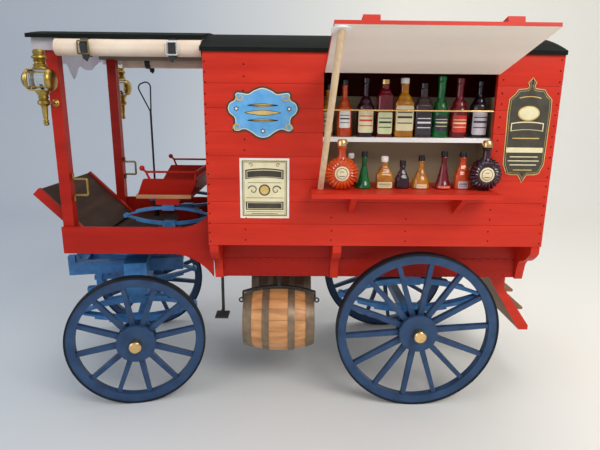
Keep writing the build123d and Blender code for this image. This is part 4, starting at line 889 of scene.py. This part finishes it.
def canvas_roll(name, side):
    """Canvas rolled up in a spiral, drawn in a little where a strap goes round it."""
    radius, height = ROLLS[side]
    count, steps = 40, 90
    middle = Vector((0, side * ROLL_Y, height))
    roll = bmesh.new()
    rings = []
    for j in range(steps + 1):
        x = ROLL_X[0] + (ROLL_X[1] - ROLL_X[0]) * j / steps
        pinch = sum(exp(-((x - at) / 3.2) ** 2) for at in STRAPS[side])
        ring = []
        for k, (c, s) in enumerate(circle(count)):
            lump = 0.22 * noise.noise(Vector((x * 0.03, c, s + 3 * side)))
            r = radius - 0.4 + 0.35 * (k / count) - 0.45 * pinch + lump
            ring.append(roll.verts.new((x, side * (ROLL_Y + r * c), height + r * s)))
        rings.append(ring)
    join_rows(roll, rings)
    for ring, end, out in ((rings[0], ROLL_X[0], -1), (rings[-1], ROLL_X[1], 1)):
        last = ring
        for share, push in ((0.86, 0), (0.8, -0.7), (0.6, -0.1), (0.54, -0.8), (0.34, -0.2), (0.28, -0.8)):
            now = []
            for v in ring:
                flat = middle + (Vector((0, v.co.y, v.co.z)) - middle) * share
                now.append(roll.verts.new((end + out * push, flat.y, flat.z)))
            join_rows(roll, [last, now])
            last = now
        tip = roll.verts.new((end - out * 0.3, middle.y, middle.z))
        for k in range(count):
            roll.faces.new((last[k], last[(k + 1) % count], tip))
    build = Build()
    build.take(roll)
    piece = build.done(name, "canvas", "canvas", sharp=60)
    return piece


def strap(name, side, x, metal, tail_lean):
    """A leather strap round the roll, its square buckle on the outside and its pointed tail below."""
    radius, height = ROLLS[side]
    half, thick = 3.1, 0.45
    belt = Build()
    band = bmesh.new()
    rows = []
    for c, s in circle(32):
        row = []
        for along, out in ((-half, 0), (half, 0), (half, thick), (-half, thick)):
            r = radius + 0.2 + out
            row.append(band.verts.new((x + along, side * (ROLL_Y + r * c), height + r * s)))
        rows.append(row)
    join_rows(band, rows + rows[:1])
    belt.take(band, 0)
    face = ROLL_Y + radius
    place = facing((x, side * (face + 0.7), height), (0, side, 0))
    tail = [(-2.9, 3), (2.9, 3), (2.9, -9.5), (0, -12.7), (-2.9, -9.5)]
    if (place.to_3x3().inverted() @ Vector((0, 0, 1))).y < 0:
        tail = scaled(tail, -1, -1)
    belt.plate(tail, 0.5, place @ Matrix.Rotation(radians(tail_lean), 4, "Z"), 0.1, 0)
    outline = ((-4.7, 4.5), (4.7, 4.5), (4.7, -6.1), (-4.7, -6.1))
    corners = [Vector((x + a, side * (face + 1.4), height + b)) for a, b in outline]
    buckle = []
    for k, p in enumerate(corners):
        back = (corners[k - 1] - p).normalized()
        on = (corners[(k + 1) % 4] - p).normalized()
        buckle += [p + back, p + back * 0.3 + on * 0.3, p + on]
    belt.tube(buckle, 0.75, 8, True, 1)
    belt.done(name, "black_leather", ("leather", metal))


for side, word in SIDES:
    piece = canvas_roll("canvas_roll_" + word, side)
    if side < 0:
        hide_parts("curtain_rolls")
for side, word in SIDES:
    strap("strap_front_" + word, side, STRAPS[side][0], "old_brass", -12 * side)
    strap("strap_rear_" + word, side, STRAPS[side][1], "silver", 0)


def hung_cloth(name, columns, replaces=()):
    """A white cloth half a millimetre thick through columns of points."""
    cloth = bmesh.new()
    grid = [[cloth.verts.new(point) for point in column] for column in columns]
    join_rows(cloth, list(zip(*grid)), closed=False)
    bmesh.ops.solidify(cloth, geom=cloth.faces[:], thickness=0.5)
    build = Build()
    build.take(cloth)
    return build.done(name, "canvas", "canvas_white", replaces=replaces, sharp=60)


def valance():
    """A scalloped white cloth hung across the front, with shallow folds."""
    half, x, count, rows = 81.5, -230.9, 120, 14
    # Share of the half width, and how far the cloth hangs there
    edge = ((0, 32.6), (0.05, 29), (0.147, 19.7), (0.23, 17.2), (0.34, 19.6), (0.45, 20.6),
            (0.62, 19.2), (0.75, 13.6), (0.87, 9.2), (1, 8.5))
    hem_z = under(CANOPY_ARCH, half) - 0.2
    columns = []
    for k in range(count + 1):
        y = -half + 2 * half * k / count
        share = min(abs(y) / half, 1)
        for (s0, d0), (s1, d1) in zip(edge, edge[1:]):
            if s0 <= share <= s1:
                bottom = hem_z - d0 - (d1 - d0) * (share - s0) / (s1 - s0)
                break
        top = under(CANOPY_ARCH, y) - 0.3
        column = []
        for t in [j / rows for j in range(rows + 1)]:
            fold = 0.45 * t * sin(y * 0.21) + 0.3 * t * noise.noise(Vector((y * 0.05, t, 0)))
            column.append((x + fold, y, top + (bottom - top) * t))
        columns.append(column)
    return hung_cloth("valance", columns, ["front_valance"])


hanging = valance()


def valance_return(word, side):
    """The valance's end, turned back along the side under the roof's edge."""
    top, low = under(CANOPY_ARCH, 82.4) - 0.4, 340.4
    columns = []
    for x in [-230.4 + 22.6 * k / 16 for k in range(17)]:
        column = []
        for t in [j / 6 for j in range(7)]:
            fold = 0.25 * t * sin(x * 0.5) + 0.15 * t * noise.noise(Vector((x * 0.1, t, side)))
            column.append((x, side * (81.6 + fold), top + (low - top) * t))
        columns.append(column)
    flap = hung_cloth("valance_return_" + word, columns)


for side, word in SIDES:
    valance_return(word, side)

# Coach lamps

POST_X, LAMP_Y, LAMP_Z = -216.1, 100, 314.4
DISH = [(8, 5.9), (9.1, 6.3), (9.4, 7), (9.2, 7.8), (8.8, 8.9), (7.8, 10), (6, 10.9), (3.4, 11.6),
        (0.5, 11.8)]
CHIMNEY = [(7, 9), (6.2, 9.8), (5, 11), (5.6, 12.2), (4.3, 13.2), (4.3, 14.6), (5.3, 15.2),
           (4.4, 16.2), (6.3, 18), (6.1, 18.9), (4.4, 20.2), (4.8, 21.8), (5, 23), (3.9, 24.6),
           (0.6, 25)]
STEM = [(6.6, -9), (5.4, -10.6), (3.8, -13.6), (4.4, -14.6), (3.5, -16.4), (5.2, -17.6), (5.2, -20),
        (3.2, -21.4), (2.6, -22.4), (2.3, -28), (1.7, -33.2), (2.5, -34.6), (1.6, -35.2), (2.5, -36.6),
        (1.9, -38), (0.4, -38.6)]
LAMP_GLASS = [(0.5, -16.5), (3.8, -15.8), (6.2, -14), (7.3, -11.4), (7.4, -8), (7.4, 5.8)]


def coach_lamp(word, side):
    """A brass lamp: domed dish behind, clear barrel in its frame, tiered chimney and ball-footed stem."""
    y = side * LAMP_Y
    centre = Matrix.Translation((POST_X, y, LAMP_Z))
    along = centre @ facing((0, 0, 0), (1, 0, 0), (0, 1, 0))
    brass = Build()
    brass.lathe(DISH, along, 40)
    for place, radius, thick in ((-10.4, 8.4, 0.85), (-9, 8.7, 0.6), (-11.8, 7.6, 0.45)):
        ring = [(POST_X + place, y + radius * c, LAMP_Z + radius * s) for c, s in circle(40)]
        brass.tube(ring, thick, 8, True)
    for up in (-1, 1):
        z = LAMP_Z + up * 5.9
        brass.box((POST_X - 10.4, POST_X + 6.8), (y - 4.6, y + 4.6),
                  (LAMP_Z + up * 8.1, LAMP_Z + up * 9.1), 0.3)
        for bar_y in (y - 5.2, y + 5.2):
            brass.tube([(POST_X - 9.4, bar_y, z), (POST_X + 6.4, bar_y, z)], 0.42)
    for x in (POST_X - 9.2, POST_X + 5.6):
        for bar_y in (y - 7, y + 7):
            brass.tube([(x, bar_y, LAMP_Z - 4.4), (x, bar_y, LAMP_Z + 4.4)], 0.5)
    brass.lathe(round_profile(CHIMNEY), centre, 36)
    brass.lathe(round_profile(STEM), centre, 36)
    arm_z, post_y = LAMP_Z - 19.1, side * 78.6
    brass.tube([(POST_X, side * (LAMP_Y - 4), arm_z), (POST_X, post_y, arm_z)], 1.3, 12)
    rose = facing((POST_X, side * 78.5, arm_z), (0, side, 0))
    brass.lathe([(3.3, 0), (3.3, 0.7), (2.4, 1.2), (2.1, 2.2), (1.2, 2.9)], rose, 24)
    shell = brass.done("coach_lamp_" + word, "brass", "lamp")
    glass, candle = Build(), Build()
    glass.lathe(round_profile(LAMP_GLASS), along, 36)
    panes = glass.done("lamp_glass_" + word, "lamp_glass", "pane")
    candle.lathe([(1.5, -8.2), (1.5, -3), (0.9, -2.4)], centre, 16)
    candle.done("lamp_candle_" + word, "white_paint", "flame")
    return shell, panes


for side, word in SIDES:
    shell, panes = coach_lamp(word, side)
    if side < 0:
        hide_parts("lamp_brass")
        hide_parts("lamp_glass")

# Lid paint: red on the upper face and the edges, over the cream underside

LID_X, LID_Y, COAT = (25.85, 176.15), (-99.95, -1.6), 0.15
lid_paint = Build(LID)
lid_paint.box(LID_X, LID_Y, (0, 0.12))
for x, y in (((LID_X[0], LID_X[0] + COAT), LID_Y), ((LID_X[1] - COAT, LID_X[1]), LID_Y),
             (LID_X, (LID_Y[0], LID_Y[0] + COAT))):
    lid_paint.box(x, y, (-2.6, 0))
lid_paint.done("lid_paint", "red_paint", "red_paint", "lid")

# Barrels: staves, end boards and a bung; hangers curl at their ends

BARREL_X, BARREL_Y, BARREL_Z = -14.5, 57, 76
STAVES, BARREL_HALF, BULGE, BULGE_RADIUS = 18, 36.5, 7, 33
END_RADIUS, END_BOARD = 23.9, 7.8
CORE = [(26.2, -30.9), (28.7, -22), (30.7, -10), (31.2, 0), (30.7, 10), (28.7, 22), (26.2, 30.9)]


def barrel(word, side):
    """Staves round the bulge with narrow joints, recessed end boards and a bung."""
    cask = Build(W @ Matrix.Translation((BARREL_X, side * BARREL_Y, BARREL_Z)))
    bend = (BARREL_HALF**2 + BULGE**2) / (2 * BULGE)
    section = [(0, 0.16), (1, 0), (2, 0), (3, 0), (4, 0.16), (4, 3.2), (3, 3.2), (2, 3.2), (1, 3.2), (0, 3.2)]
    part = bmesh.new()
    for stave in range(STAVES):
        rows = []
        for x in [BARREL_HALF * (j / 8 - 1) for j in range(17)]:
            radius = BULGE_RADIUS - bend + sqrt(bend**2 - x**2)
            row = []
            for k, dip in section:
                a = tau * (stave + 0.012 + 0.976 * k / 4) / STAVES
                row.append(part.verts.new((x, (radius - dip) * cos(a), (radius - dip) * sin(a))))
            rows.append(row)
        join_rows(part, rows)
        part.faces.new(rows[0][::-1])
        part.faces.new(rows[-1])
    cask.take(part, 0)
    inner = facing((0, 0, 0), (1, 0, 0), (0, 1, 0))
    for end in (-1, 1):
        for left in [END_BOARD * k for k in range(-3, 3)]:
            reach = sqrt(max(END_RADIUS**2 - (left + END_BOARD / 2) ** 2, 9))
            board_y = (left + 0.15, left + END_BOARD - 0.15)
            cask.box((end * 32, end * 33.2), board_y, (-reach, reach), 0.15, 0)
        cask.lathe([(24.6, end * 31), (24.6, end * 32.1)], inner, 40, 1)
    cask.lathe(CORE, inner, 40, 2)
    cask.lathe([(3.2, 0), (3.2, 0.9), (2.6, 1.3)], facing((0, 0, -32.9), (0, 0, -1)), 20, 1)
    # The far barrel takes the darker wood, painted shade.
    wood = "barrel_wood" if side < 0 else "barrel_painted_shade"
    return cask.done("barrel_" + word, "barrel_wood", (wood, "edge_wood", "stave_joint"))


for side, word in SIDES:
    cask = barrel(word, side)
    if side < 0:
        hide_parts("barrels")

hooks = Build()
for y in (-BARREL_Y, BARREL_Y):
    for end in (-1, 1):
        x = BARREL_X + end * 37.8
        line = [(x + end * 0.2, y, 99)]
        for k in range(15):
            a = radians(90 - 300 * k / 14)
            r = 2.4 - 0.04 * k
            line.append((x + end * (1.6 + r * cos(a)), y, 96.4 + r * sin(a)))
        hooks.tube(line, 0.8)
    for drop in (-24, 24):
        hooks.lathe([(1.3, 0), (1.3, 0.8), (0.7, 1.2)], facing((BARREL_X + drop, y, 107.6), (0, 0, 1)), 10)
hooks.done("hanger_hooks", "iron", "iron")

# Stays behind the seat, and bright studs beside the clamps of its springs

stays, studs = Build(), Build()
clamp_y = (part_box("seat_springs")[1].y - HOME.y) / MM + 0.5
for side in (-1, 1):
    stays.tube([(-106, side * 50.5, 207), (-97, side * 52, 220.5)], 0.7)
    for x in (-132.9, -122.1):
        studs.tube([(x, side * clamp_y, 160.2), (x, side * clamp_y, 175.5)], 0.8)
stays.done("seat_stays", "iron", "iron")
studs.done("spring_studs", "iron", "silver")
